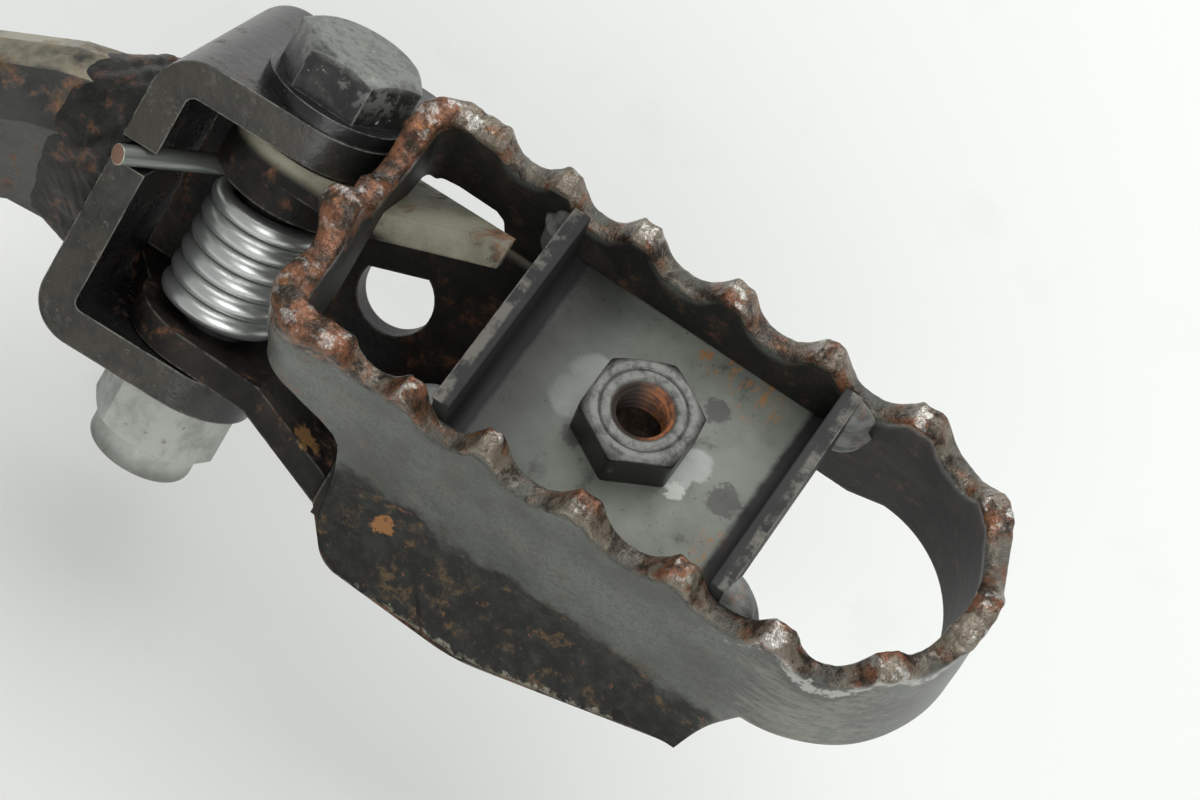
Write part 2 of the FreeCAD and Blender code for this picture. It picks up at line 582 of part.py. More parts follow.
def nut_saddle():
    """Strip folded into a tray across the ring, with a hole under the nut."""
    left = RING_BACK + SADDLE_MIDDLE - SADDLE_LENGTH / 2
    right = left + SADDLE_LENGTH
    top = CREST - SADDLE_TOP_DROP
    floor = CREST - SADDLE_FLOOR_DROP
    bottom = floor - SADDLE_PLATE
    outer = SADDLE_BEND + SADDLE_PLATE
    half = RING_WIDTH / 2 - RING_STRIP
    tray = side_prism([(left, top, 0), (left, bottom, outer), (right, bottom, outer), (right, top, 0),
                       (right - SADDLE_PLATE, top, 0), (right - SADDLE_PLATE, floor, SADDLE_BEND),
                       (left + SADDLE_PLATE, floor, SADDLE_BEND), (left + SADDLE_PLATE, top, 0)],
                      PIVOT_FORWARD - half, PIVOT_FORWARD + half)
    under_nut = Vector(RING_BACK + SADDLE_MIDDLE, PIVOT_FORWARD, bottom)
    return tray.cut(rod(NUT_PILOT_HOLE / 2, under_nut, under_nut + Vector(0, 0, SADDLE_PLATE)))


def saddle_welds():
    """Four upright beads in the corners between the saddle's outer faces and the ring."""
    top = CREST - SADDLE_TOP_DROP - SADDLE_PLATE
    bottom = CREST - SADDLE_FLOOR_DROP
    half = RING_WIDTH / 2 - RING_STRIP
    beads = []
    for end in (-1, 1):
        face = RING_BACK + SADDLE_MIDDLE + end * SADDLE_LENGTH / 2
        for side in (-1, 1):
            wall = PIVOT_FORWARD + side * half
            corners = [(face, wall, 0), (face + end * SADDLE_BEAD, wall, 0),
                       (face, wall - side * SADDLE_BEAD, 0)]
            beads.append(plan_prism(corners, bottom, top))
    return Part.makeCompound(beads)


def pad_nut():
    """Hexagon nut in the middle of the saddle, with a fine groove round its bore."""
    nut = hexagon_bar(NUT_ACROSS_FLATS, NUT_HEIGHT, NUT_ACROSS_FLATS / 2)
    nut = nut.cut(Part.makeCylinder(NUT_BORE / 2, NUT_HEIGHT))
    groove = Part.makeTorus(NUT_GROOVE / 2, NUT_GROOVE_SIZE, Vector(0, 0, NUT_HEIGHT))
    nut = nut.cut(groove)
    nut.rotate(Vector(0, 0, 0), Vector(0, 0, 1), NUT_TURN)
    nut.translate(Vector(RING_BACK + SADDLE_MIDDLE, PIVOT_FORWARD, CREST - SADDLE_FLOOR_DROP))
    return nut


# One file for each piece

arm = support_arm()
fork = clevis()
base = hinge_base()
PIECES = {
    "frame_plate": frame_plate(),
    "support_arm": arm,
    "plate_weld": plate_weld(arm),
    "arm_weld": arm_weld(arm, fork),
    "clevis": fork,
    "pivot_bolt": pivot_bolt(),
    "bolt_washer": bolt_washer(),
    "lock_nut": lock_nut(),
    "lock_nut_insert": lock_nut_insert(),
    "return_spring": return_spring(),
    "hinge_base": base,
    "tread_ring": tread_ring(base),
    "nut_saddle": nut_saddle(),
    "saddle_welds": saddle_welds(),
    "pad_nut": pad_nut(),
}

os.makedirs("parts", exist_ok=True)
for name, piece in PIECES.items():
    piece.exportStep(os.path.join("parts", name + ".step"))
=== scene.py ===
import math

import bmesh
import bpy
import numpy as np
from mathutils import Matrix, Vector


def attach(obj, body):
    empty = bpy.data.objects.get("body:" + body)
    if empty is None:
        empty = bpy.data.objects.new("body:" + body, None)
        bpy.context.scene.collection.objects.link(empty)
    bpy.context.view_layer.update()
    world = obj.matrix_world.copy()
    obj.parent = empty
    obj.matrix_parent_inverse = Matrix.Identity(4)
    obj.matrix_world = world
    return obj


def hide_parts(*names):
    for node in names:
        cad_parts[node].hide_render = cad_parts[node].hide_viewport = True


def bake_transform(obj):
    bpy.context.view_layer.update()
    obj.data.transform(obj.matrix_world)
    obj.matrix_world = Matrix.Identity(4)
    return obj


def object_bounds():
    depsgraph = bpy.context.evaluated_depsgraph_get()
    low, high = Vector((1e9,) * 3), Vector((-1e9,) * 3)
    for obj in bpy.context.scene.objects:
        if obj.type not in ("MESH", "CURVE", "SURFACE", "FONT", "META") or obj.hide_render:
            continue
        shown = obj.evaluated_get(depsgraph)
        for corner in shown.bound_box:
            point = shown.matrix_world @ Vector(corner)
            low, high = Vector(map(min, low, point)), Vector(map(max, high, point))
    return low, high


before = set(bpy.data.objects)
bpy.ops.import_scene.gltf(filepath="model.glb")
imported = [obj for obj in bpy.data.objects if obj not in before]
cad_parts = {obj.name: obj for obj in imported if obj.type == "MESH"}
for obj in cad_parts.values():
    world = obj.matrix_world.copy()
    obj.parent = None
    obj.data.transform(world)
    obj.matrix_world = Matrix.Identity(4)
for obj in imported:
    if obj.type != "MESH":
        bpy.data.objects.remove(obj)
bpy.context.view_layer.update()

MM = 0.001

# Places on the part, in millimetres

CREST = 52.0
MIDDLE = 15.0
RING_BACK = 102.4
RING_LENGTH = 113.2
RING_WIDTH = 47.2
STRIP = 3.8
RING_CORNER = 6.5
PIVOT = np.array((89.4, 15.0, 19.5))
LEAN = math.radians(50.0)
HINGE_AXES = np.array((
    (1.0, 0.0, 0.0),
    (0.0, math.cos(LEAN), math.sin(LEAN)),
    (0.0, -math.sin(LEAN), math.cos(LEAN))))
OUTBOARD, UP_BOLT, OFF_BOLT = range(3)


def from_hinge(points):
    """Points in the pivot's own axes (X, along the bolt, square to both), carried to the part's frame."""
    return PIVOT + np.asarray(points, float) @ HINGE_AXES


# Mesh from a grid of points

def grid_piece(name, points, around=False, along=False, ends=False, masks=None):
    """Quads over a grid of points in mm, rows along and columns around, closed where asked.
    ends caps the first and the last row, and each of the masks is kept at the points."""
    rows, columns = points.shape[:2]
    index = np.arange(rows * columns).reshape(rows, columns)
    first, last = index[0], index[-1]
    if along:
        index = np.vstack([index, index[:1]])
    if around:
        index = np.hstack([index, index[:, :1]])
    quads = np.stack([index[:-1, :-1], index[:-1, 1:], index[1:, 1:], index[1:, :-1]], axis=-1).reshape(-1, 4)
    faces = quads.tolist()
    if ends:
        faces += [first.tolist(), last[::-1].tolist()]
    mesh = bpy.data.meshes.new(name)
    mesh.from_pydata((points.reshape(-1, 3) * MM).tolist(), [], faces)
    for mask, values in (masks or {}).items():
        layer = mesh.attributes.new(mask, "FLOAT", "POINT")
        layer.data.foreach_set("value", values.astype(np.float32).ravel())
    work = bmesh.new()
    work.from_mesh(mesh)
    bmesh.ops.recalc_face_normals(work, faces=work.faces)
    work.to_mesh(mesh)
    work.free()
    mesh.polygons.foreach_set("use_smooth", np.ones(len(mesh.polygons), bool))
    piece = bpy.data.objects.new(name, mesh)
    bpy.context.scene.collection.objects.link(piece)
    return piece


def ripple(values, wavelength, seed):
    """Smooth unevenness between about -1 and 1: three sines of unrelated wavelengths, shifted by the seed."""
    turn = 2 * math.pi * values / wavelength
    waves = np.sin(turn + 1.7 * seed) + np.sin(1.618 * turn + 2.9 * seed) + np.sin(2.37 * turn + 4.3 * seed)
    return waves / 3


def step(values, low, high):
    """Smooth rise from 0 at low to 1 at high."""
    t = np.clip((values - low) / (high - low), 0, 1)
    return t * t * (3 - 2 * t)


def hump(values, place, width):
    """Bell of height 1 at place."""
    return np.exp(-((values - place) / width) ** 2)


# Finishes

class Finish:
    """A procedural material on Object coordinates: helpers that add nodes and give back their outputs."""

    def __init__(self, name):
        self.material = bpy.data.materials.new(name)
        self.material.use_nodes = True
        self.tree = self.material.node_tree
        self.shader = self.tree.nodes["Principled BSDF"]
        self.place = self.tree.nodes.new("ShaderNodeTexCoord").outputs["Object"]
        self.rounded = None

    def feed(self, socket, value):
        """Links an output to a socket, or sets the socket to a constant."""
        if isinstance(value, bpy.types.NodeSocket):
            self.tree.links.new(value, socket)
        elif isinstance(value, tuple) and len(value) == 3 and socket.type == "RGBA":
            socket.default_value = value + (1.0,)
        else:
            socket.default_value = value

    def stretched(self, scale, turn=(0.0, 0.0, 0.0)):
        """Coordinates turned and stretched, for streaks and brushing."""
        node = self.tree.nodes.new("ShaderNodeMapping")
        node.inputs["Scale"].default_value = scale
        node.inputs["Rotation"].default_value = tuple(math.radians(a) for a in turn)
        self.feed(node.inputs["Vector"], self.place)
        return node.outputs["Vector"]

    def noise(self, size, detail=4.0, rough=0.6, twist=0.0, place=None):
        """Cloudy noise whose features are about size millimetres across."""
        node = self.tree.nodes.new("ShaderNodeTexNoise")
        node.inputs["Scale"].default_value = 1.0 / (size * MM)
        node.inputs["Detail"].default_value = detail
        node.inputs["Roughness"].default_value = rough
        node.inputs["Distortion"].default_value = twist
        self.feed(node.inputs["Vector"], place or self.place)
        return node.outputs["Fac"]

    def sway(self, amount, size, detail, rough, place=None):
        """Noise that swings about zero: the noise less a half, times the amount."""
        return self.times(self.calc("SUBTRACT", self.noise(size, detail, rough, place=place), 0.5), amount)

    def ramp(self, value, low, high, start=0.0, end=1.0):
        """Smooth step of value from low to high, giving start to end."""
        node = self.tree.nodes.new("ShaderNodeMapRange")
        node.interpolation_type = "SMOOTHSTEP"
        self.feed(node.inputs["Value"], value)
        for socket, number in (("From Min", low), ("From Max", high), ("To Min", start), ("To Max", end)):
            node.inputs[socket].default_value = number
        return node.outputs["Result"]

    def calc(self, operation, a, b):
        """One step of arithmetic on two values."""
        node = self.tree.nodes.new("ShaderNodeMath")
        node.operation = operation
        self.feed(node.inputs[0], a)
        self.feed(node.inputs[1], b)
        return node.outputs["Value"]

    def times(self, *values):
        """Product of the values."""
        product = values[0]
        for value in values[1:]:
            product = self.calc("MULTIPLY", product, value)
        return product

    def plus(self, *values):
        """Sum of the values."""
        total = values[0]
        for value in values[1:]:
            total = self.calc("ADD", total, value)
        return total

    def mix(self, share, a, b):
        """Colour a, replaced by colour b where share is 1."""
        node = self.tree.nodes.new("ShaderNodeMix")
        node.data_type = "RGBA"
        self.feed(node.inputs["Factor"], share)
        self.feed(node.inputs["A"], a)
        self.feed(node.inputs["B"], b)
        return node.outputs["Result"]

    def mask(self, name):
        """A mask that the mesh carries at its points."""
        node = self.tree.nodes.new("ShaderNodeAttribute")
        node.attribute_name = name
        return node.outputs["Fac"]

    def axis(self, name):
        """One coordinate of the place, in metres."""
        node = self.tree.nodes.new("ShaderNodeSeparateXYZ")
        self.feed(node.inputs["Vector"], self.place)
        return node.outputs[name]

    def spot(self, centre, radius, ragged=0.5, size=2.0):
        """Ragged patch: 1 near a point given in mm, 0 outside the radius, its rim broken up by noise."""
        node = self.tree.nodes.new("ShaderNodeVectorMath")
        node.operation = "DISTANCE"
        self.feed(node.inputs[0], self.place)
        node.inputs[1].default_value = tuple(c * MM for c in centre)
        away = self.times(node.outputs["Value"], 1.0 / (radius * MM))
        return self.ramp(self.plus(away, self.sway(2.0 * ragged, size, 5.0, 0.7)), 1.0, 0.75)

    def along(self, direction):
        """Distance in metres along a direction from the part's origin."""
        node = self.tree.nodes.new("ShaderNodeVectorMath")
        node.operation = "DOT_PRODUCT"
        self.feed(node.inputs[0], self.place)
        node.inputs[1].default_value = tuple(direction)
        return node.outputs["Value"]

    def facing(self, direction):
        """How squarely the surface faces a direction: the cosine between its normal and that direction."""
        plain = self.tree.nodes.new("ShaderNodeNewGeometry")
        node = self.tree.nodes.new("ShaderNodeVectorMath")
        node.operation = "DOT_PRODUCT"
        self.feed(node.inputs[0], plain.outputs["Normal"])
        node.inputs[1].default_value = tuple(direction)
        return node.outputs["Value"]

    def on_pivot(self, row):
        """Coordinate in mm along one of the pivot's own axes."""
        start = float(PIVOT @ HINGE_AXES[row])
        return self.plus(self.times(self.along(HINGE_AXES[row]), 1.0 / MM), -start)

    def edge(self, radius):
        """Wear along edges: how far the surface's normal turns when its corners are rounded by radius mm."""
        soft = self.tree.nodes.new("ShaderNodeBevel")
        soft.samples = 6
        soft.inputs["Radius"].default_value = radius * MM
        plain = self.tree.nodes.new("ShaderNodeNewGeometry")
        dot = self.tree.nodes.new("ShaderNodeVectorMath")
        dot.operation = "DOT_PRODUCT"
        self.feed(dot.inputs[0], soft.outputs["Normal"])
        self.feed(dot.inputs[1], plain.outputs["Normal"])
        self.rounded = soft.outputs["Normal"]
        return self.ramp(dot.outputs["Value"], 0.985, 0.88)

    def relief(self, height, strength, depth):
        """Bump from a height between 0 and 1, depth mm high, over the rounded edges where there are any."""
        node = self.tree.nodes.new("ShaderNodeBump")
        node.inputs["Strength"].default_value = strength
        node.inputs["Distance"].default_value = depth * MM
        self.feed(node.inputs["Height"], height)
        if self.rounded is not None:
            self.feed(node.inputs["Normal"], self.rounded)
        self.feed(self.shader.inputs["Normal"], node.outputs["Normal"])

    def surface(self, colour, roughness, metal=0.0, shine=0.5):
        """Feeds the shader and gives back the material. shine is the strength of the gloss on paint."""
        self.shader.inputs["Specular IOR Level"].default_value = shine
        self.feed(self.shader.inputs["Base Color"], colour)
        self.feed(self.shader.inputs["Roughness"], roughness)
        self.feed(self.shader.inputs["Metallic"], metal)
        return self.material


BLACK = (0.012, 0.012, 0.012)
GREY_PAINT = (0.112, 0.119, 0.105)
GREY_SHADE = (0.066, 0.069, 0.061)
DARK_BROWN = (0.040, 0.029, 0.021)
RUST = (0.215, 0.095, 0.052)
ORANGE = (0.340, 0.145, 0.045)
OCHRE = (0.125, 0.076, 0.034)
GREY_BROWN = (0.190, 0.158, 0.122)
WORN_GREY = (0.180, 0.174, 0.145)
# Pale bare metal, also used as the painted highlight on the crest tops
PALE_METAL_AND_HIGHLIGHT = (0.560, 0.545, 0.510)
CHALK = (0.430, 0.455, 0.425)


def rust_colours(f, size=4.5):
    """Rust that wanders from dark brown over red brown to a little orange."""
    deep = f.mix(f.ramp(f.noise(size, 5.0, 0.62), 0.38, 0.62), DARK_BROWN, RUST)
    return f.mix(f.times(f.ramp(f.noise(size * 0.8, 5.0, 0.68, 0.6), 0.58, 0.72), 0.8), deep, ORANGE)


ORANGE_SPOT = (130.8, -9.6, 13.1)


def tread_paint(f, grain, rusty, shaded_inside):
    """Satin grey paint with a fine grain, specked dark and stained brown, and painted shade that turns the
    inner faces nearly black.
    """
    paint = f.mix(f.ramp(f.noise(15.0, 5.0, 0.6), 0.36, 0.68), GREY_PAINT, GREY_SHADE)
    paint = f.mix(f.ramp(grain, 0.44, 0.66, 0.0, 0.6), paint, (0.045, 0.046, 0.041))
    # Painted shade: the inner faces turn nearly black, mottled dark brown
    inner_shade = f.mix(f.ramp(f.noise(9.0, 5.0, 0.65), 0.45, 0.68), (0.012, 0.012, 0.011), (0.032, 0.027, 0.021))
    paint = f.mix(shaded_inside, paint, inner_shade)
    speck = f.ramp(f.noise(0.8, 3.0, 0.6), 0.60, 0.68)
    paint = f.mix(f.times(speck, 0.5), paint, (0.030, 0.028, 0.024))
    stain = f.times(f.ramp(f.noise(5.0, 6.0, 0.74), 0.53, 0.66), f.plus(0.14, f.times(rusty, 0.8)))
    return f.mix(stain, paint, rust_colours(f, 4.0))


def flange_crust(f, paint, flaked, rim):
    """Dark crust mottled with ochre and rust where the paint has flaked, pale flakes along the rim and one
    orange spot."""
    crust = f.mix(f.ramp(f.noise(2.6, 5.0, 0.70), 0.40, 0.66), (0.007, 0.007, 0.006), (0.025, 0.024, 0.020))
    crust = f.mix(f.times(f.ramp(f.noise(4.6, 7.0, 0.74), 0.53, 0.64), 0.80), crust, OCHRE)
    crust = f.mix(f.times(f.ramp(f.noise(2.4, 6.0, 0.74), 0.60, 0.70), 0.75), crust, RUST)
    paint = f.mix(f.times(flaked, 0.95), paint, crust)
    flakes = f.ramp(f.plus(rim, f.sway(3.2, 1.9, 7.0, 0.76)), 0.62, 0.90)
    paint = f.mix(f.times(flakes, f.ramp(rim, 0.0, 0.15), 0.75), paint, (0.330, 0.300, 0.235))
    return f.mix(f.times(f.spot(ORANGE_SPOT, 1.9, 1.8, 1.6), 0.75), paint, (0.360, 0.160, 0.050))


def crest_metal(f, crest, rusty):
    """Rubbed crests: grey brown with rust, most at the rusty places, and worn grey in the valleys."""
    redness = f.plus(f.noise(5.5, 4.0, 0.6), f.times(rusty, 0.30))
    ridge = f.mix(f.ramp(redness, 0.49, 0.60), GREY_BROWN, rust_colours(f, 3.4))
    valley = f.times(f.ramp(crest, 0.80, 0.45), f.ramp(f.noise(4.0, 4.0, 0.6), 0.36, 0.58), 0.8)
    return f.mix(valley, ridge, WORN_GREY)


def worn_tread():
    """Ring: grey paint with a crust over the flange, rubbed to metal and rust on the crests, with dark pits,
    painted shade below their tops, painted highlights on their tops, and pale chips and brushed scuffs near
    the tip."""
    f = Finish("worn_tread")
    crest, bare, rusty = f.mask("crest"), f.mask("bare"), f.mask("rusty")
    shaded_inside, foot, rim, chipped = f.mask("shaded_inside"), f.mask("foot"), f.mask("rim"), f.mask("chipped")
    grain = f.noise(0.55, 4.0, 0.65)
    uneven = f.plus(f.sway(1.5, 16.0, 4.0, 0.6), f.sway(1.0, 4.0, 6.0, 0.72))
    flaked = f.times(f.ramp(f.plus(foot, uneven), 0.30, 0.80), f.ramp(foot, 0.0, 0.25))
    paint = flange_crust(f, tread_paint(f, grain, rusty, shaded_inside), flaked, rim)
    worn = f.ramp(f.plus(crest, f.times(rusty, 0.22), f.sway(1.0, 3.6, 5.0, 0.66)), 0.34, 0.66)
    colour = f.mix(worn, paint, crest_metal(f, crest, rusty))
    pit = f.ramp(f.noise(1.1, 4.0, 0.62), 0.58, 0.66)
    colour = f.mix(f.times(pit, worn, 0.70), colour, DARK_BROWN)
    brushed = f.stretched((0.4, 1.0, 1.5), (0, 0, 32))
    scuffed = f.times(f.ramp(f.plus(bare, f.sway(1.8, 2.0, 6.0, 0.78, brushed)), 0.42, 0.80), 0.52)
    colour = f.mix(scuffed, colour, (0.245, 0.238, 0.196))
    # Painted highlights: pale spots on the crest tops, joined with the real pale chips near the tip
    rub = f.ramp(f.noise(3.2, 4.0, 0.60), 0.52, 0.62)
    highlight_and_chips = f.times(rub, f.ramp(crest, 0.78, 1.0), f.calc("SUBTRACT", 0.95, f.times(rusty, 0.40)))
    chips = f.ramp(f.plus(chipped, f.sway(3.0, 2.0, 7.0, 0.76)), 0.66, 0.86)
    highlight_and_chips = f.calc("MAXIMUM", highlight_and_chips, f.times(chips, f.ramp(chipped, 0.0, 0.2), 0.8))
    colour = f.mix(f.times(highlight_and_chips, 0.75), colour, PALE_METAL_AND_HIGHLIGHT)
    # Painted shade: dark brown patches on the crest sides, kept off the tops
    crevice_shade = f.times(f.ramp(f.noise(3.4, 4.0, 0.60), 0.50, 0.40), worn, f.ramp(crest, 1.05, 0.6), 0.80)
    colour = f.mix(crevice_shade, colour, (0.030, 0.021, 0.016))
    hammered = f.times(f.noise(2.4, 4.0, 0.58), f.plus(0.22, f.times(worn, 1.5)))
    f.relief(f.plus(hammered, f.times(grain, 0.06)), 0.9, 0.6)
    rough = f.plus(0.34, f.times(flaked, 0.20), f.times(shaded_inside, 0.22), f.times(worn, -0.11))
    metal = f.plus(f.times(highlight_and_chips, 0.4), f.times(worn, 0.32))
    return f.surface(colour, rough, metal, shine=0.30)


def painted(name, base, rust, rim_wear=0.6, blotch=0.55, dull=0.30, rim_size=0.5,
            rim=(0.250, 0.235, 0.200), dust_and_sheen=0.0, dust_and_sheen_facing=HINGE_AXES[OFF_BOLT]):
    """Black gloss paint gone cloudy, rust that breaks through in blotches, corners rubbed pale, and a pale
    layer of settled dirt and painted sheen on the faces that look the given way."""
    f = Finish(name)
    cloud = f.noise(11.0, 5.0, 0.6)
    colour = f.mix(f.ramp(cloud, 0.35, 0.70), base, tuple(c * 2.4 for c in base))
    blot = f.ramp(f.noise(6.5, 7.0, 0.70, 0.3), blotch, blotch + 0.14)
    ochre = f.mix(f.ramp(f.noise(5.0, 5.0, 0.7), 0.46, 0.60), rust_colours(f), OCHRE)
    colour = f.mix(f.times(blot, rust), colour, ochre)
    wear = f.times(f.edge(rim_size), f.ramp(f.noise(3.0, 5.0, 0.7), 0.36, 0.60), rim_wear)
    colour = f.mix(wear, colour, rim)
    fleck = f.ramp(f.noise(1.2, 3.0, 0.6), 0.66, 0.72)
    colour = f.mix(f.times(fleck, 0.4), colour, (0.17, 0.16, 0.13))
    # Partly settled dirt, partly painted sheen: faces turned the given way are lightened
    dust_and_sheen_layer = f.times(f.ramp(f.facing(dust_and_sheen_facing), 0.55, 0.95), f.ramp(f.noise(8.0, 5.0, 0.65), 0.30, 0.62), dust_and_sheen)
    colour = f.mix(dust_and_sheen_layer, colour, (0.310, 0.280, 0.195))
    f.relief(f.plus(f.times(f.noise(2.2, 5.0, 0.60), 0.6), f.times(blot, 0.5)), 0.5, 0.4)
    rough = f.ramp(f.plus(f.times(blot, rust), f.times(cloud, 0.4)), 0.1, 1.0, dull, 0.66)
    return f.surface(colour, rough, 0.0)


# Tread ring

# Each valley's distance along the strip from the tip, half width and depth
VALLEYS = np.array((
    (-132.3, 5.2, 1.6), (-105.6, 5.2, 4.5), (-92.4, 5.8, 7.2), (-77.4, 6.9, 6.8),
    (-60.2, 7.0, 6.6), (-43.4, 6.8, 6.2), (-26.4, 6.8, 5.8), (-10.8, 5.0, 3.2),
    (8.8, 6.2, 3.2), (26.0, 6.7, 5.4), (43.6, 6.9, 5.9), (60.4, 6.7, 6.1),
    (77.0, 6.9, 6.2), (92.4, 5.7, 5.8), (105.8, 5.2, 4.2), (132.6, 5.8, 3.2)))

# Lower edges, as places along the ring, or across it at the inboard end, and heights from the crest
FAR_EDGE = ((0, 2, 5.4, 9, 16, 17.6, 18.4, 19.6, 84, 90, 113),
            (-20.8, -20.8, -18.4, -17.5, -17.5, -18.8, -22, -30, -30, -27.5, -27.5))
NEAR_EDGE = ((0, 5.3, 9.3, 13.2, 15.9, 17.2, 18.8, 84, 90, 113),
             (-17.9, -18.9, -21.1, -23, -24.9, -27.4, -42.3, -42.3, -27.5, -27.5))
INBOARD_EDGE = ((-24, -15, -6, 0.3, 3.4, 10, 20, 24),
                (-18, -20, -21, -13.5, -10, -15.3, -17.5, -18))

# How far the near wall runs out over the flange, at places along the ring
APRON = ((18.4, 20, 21, 23, 26, 36, 44, 48, 52, 66, 80, 82.5),
         (0, 3.2, 4.5, 6.1, 7.2, 7.6, 7.8, 7.75, 7.2, 3.9, 0.4, 0))

# Depth where the near wall begins to flare and how strongly, the inner face's shorter foot, the cap's height
FLARE_START = 32.6
FLARE = 0.0375
INNER_STEP = 7.6
CAP = 1.15

# Points along the ring, up its outer face, over its cap and down its inner face
RING_STEPS = 820
OUTER_STEPS = 62
CAP_STEPS = 15
INNER_STEPS = 44

# Places along the strip of the bulge in the inboard end and of the rusty near corner
INBOARD_BULGE = -139.0
NEAR_CORNER = -120.8


def ring_path(count):
    """Middle line of the strip from above: four arcs joined by straight runs, walked from the tip.
    Gives the points, the outward directions and the signed distance, negative on the near side."""
    half = (RING_WIDTH - STRIP) / 2
    corner = RING_CORNER - STRIP / 2
    tip = RING_BACK + RING_LENGTH - RING_WIDTH / 2
    back = RING_BACK + RING_CORNER
    inner = half - corner
    turns = np.linspace(0, math.pi / 2, 90)
    arcs = ((tip, 0, half, 0.0), (back, inner, corner, 0.5), (back, -inner, corner, 1.0), (tip, 0, half, 1.5))
    angle = np.concatenate([turns + start * math.pi for _, _, _, start in arcs])
    radius = np.repeat([arc[2] for arc in arcs], len(turns))
    x = np.repeat([arc[0] for arc in arcs], len(turns)) + radius * np.cos(angle)
    y = np.repeat([arc[1] for arc in arcs], len(turns)) + radius * np.sin(angle)
    walked = np.concatenate([[0], np.cumsum(np.hypot(np.diff(x), np.diff(y)))])
    at = np.linspace(0, walked[-1], count, endpoint=False)
    angle = np.interp(at, walked, angle)
    points = np.stack([np.interp(at, walked, x), np.interp(at, walked, y) + MIDDLE], axis=-1)
    signed = np.where(at > walked[-1] / 2, at - walked[-1], at)
    return points, np.stack([np.cos(angle), np.sin(angle)], axis=-1), signed


def scoops(run):
    """How far the top lies below the crests, and how much of a crest a place is, from 0 to 1. Each valley is
    (1 - |t|^2.6)^1.25 of its depth, with t from -1 to 1 across it."""
    t = np.clip((run[:, None] - VALLEYS[:, 0]) / VALLEYS[:, 1], -1, 1)
    dips = (1 - np.abs(t) ** 2.6) ** 1.25
    return (dips * VALLEYS[:, 2]).sum(1), 1 - np.clip(dips.sum(1), 0, 1)


def lower_edge(points, near, inboard):
    """Height of the strip's lower edge: the far, near and inboard edges, straight between their points and
    blended where they meet."""
    reach = points[:, 0] - RING_BACK
    bottom_far = CREST + np.interp(reach, *FAR_EDGE)
    bottom_near = CREST + np.interp(reach, *NEAR_EDGE)
    bottom_back = CREST + np.interp(points[:, 1] - MIDDLE, *INBOARD_EDGE)
    bottom = bottom_far * (1 - near) + bottom_near * near
    return bottom * (1 - inboard) + bottom_back * inboard


def ring_masks(run, below, across, crest, inboard):
    """Where the ring is rubbed, scuffed, rusty, an inner face under painted shade or chipped: bells along the
    run, times steps, bells or exponential falls over the depth below the top."""
    outside = (across > 0).astype(float)
    spread = 1.8 + 3.6 * crest * (0.35 + 0.65 * outside) + 2.0 * inboard
    rubbed = np.clip(1.15 - below / spread, 0, 1) * (0.50 + 0.50 * crest + 0.3 * inboard)
    scuffed = hump(run, -26.0, 17.0) * outside * step(below, 2.5, 7.0) * 0.70
    rusty = hump(run, NEAR_CORNER, 17.0) * (0.30 + 0.70 * np.exp(-below / 8.0)) * (0.4 + 0.6 * outside)
    rusty = rusty + 0.7 * inboard * np.exp(-below / 6.0) + 0.25 * (1 - outside)
    chipped = hump(run, -24.0, 26.0) * outside * hump(below, 2.6, 2.4)
    chipped = chipped + 0.5 * hump(run, 22.0, 16.0) * hump(below, 1.0, 2.0)
    return {"crest": rubbed, "bare": scuffed, "rusty": rusty, "shaded_inside": (1 - outside) * step(below, 0.8, 3.0),
            "chipped": chipped}


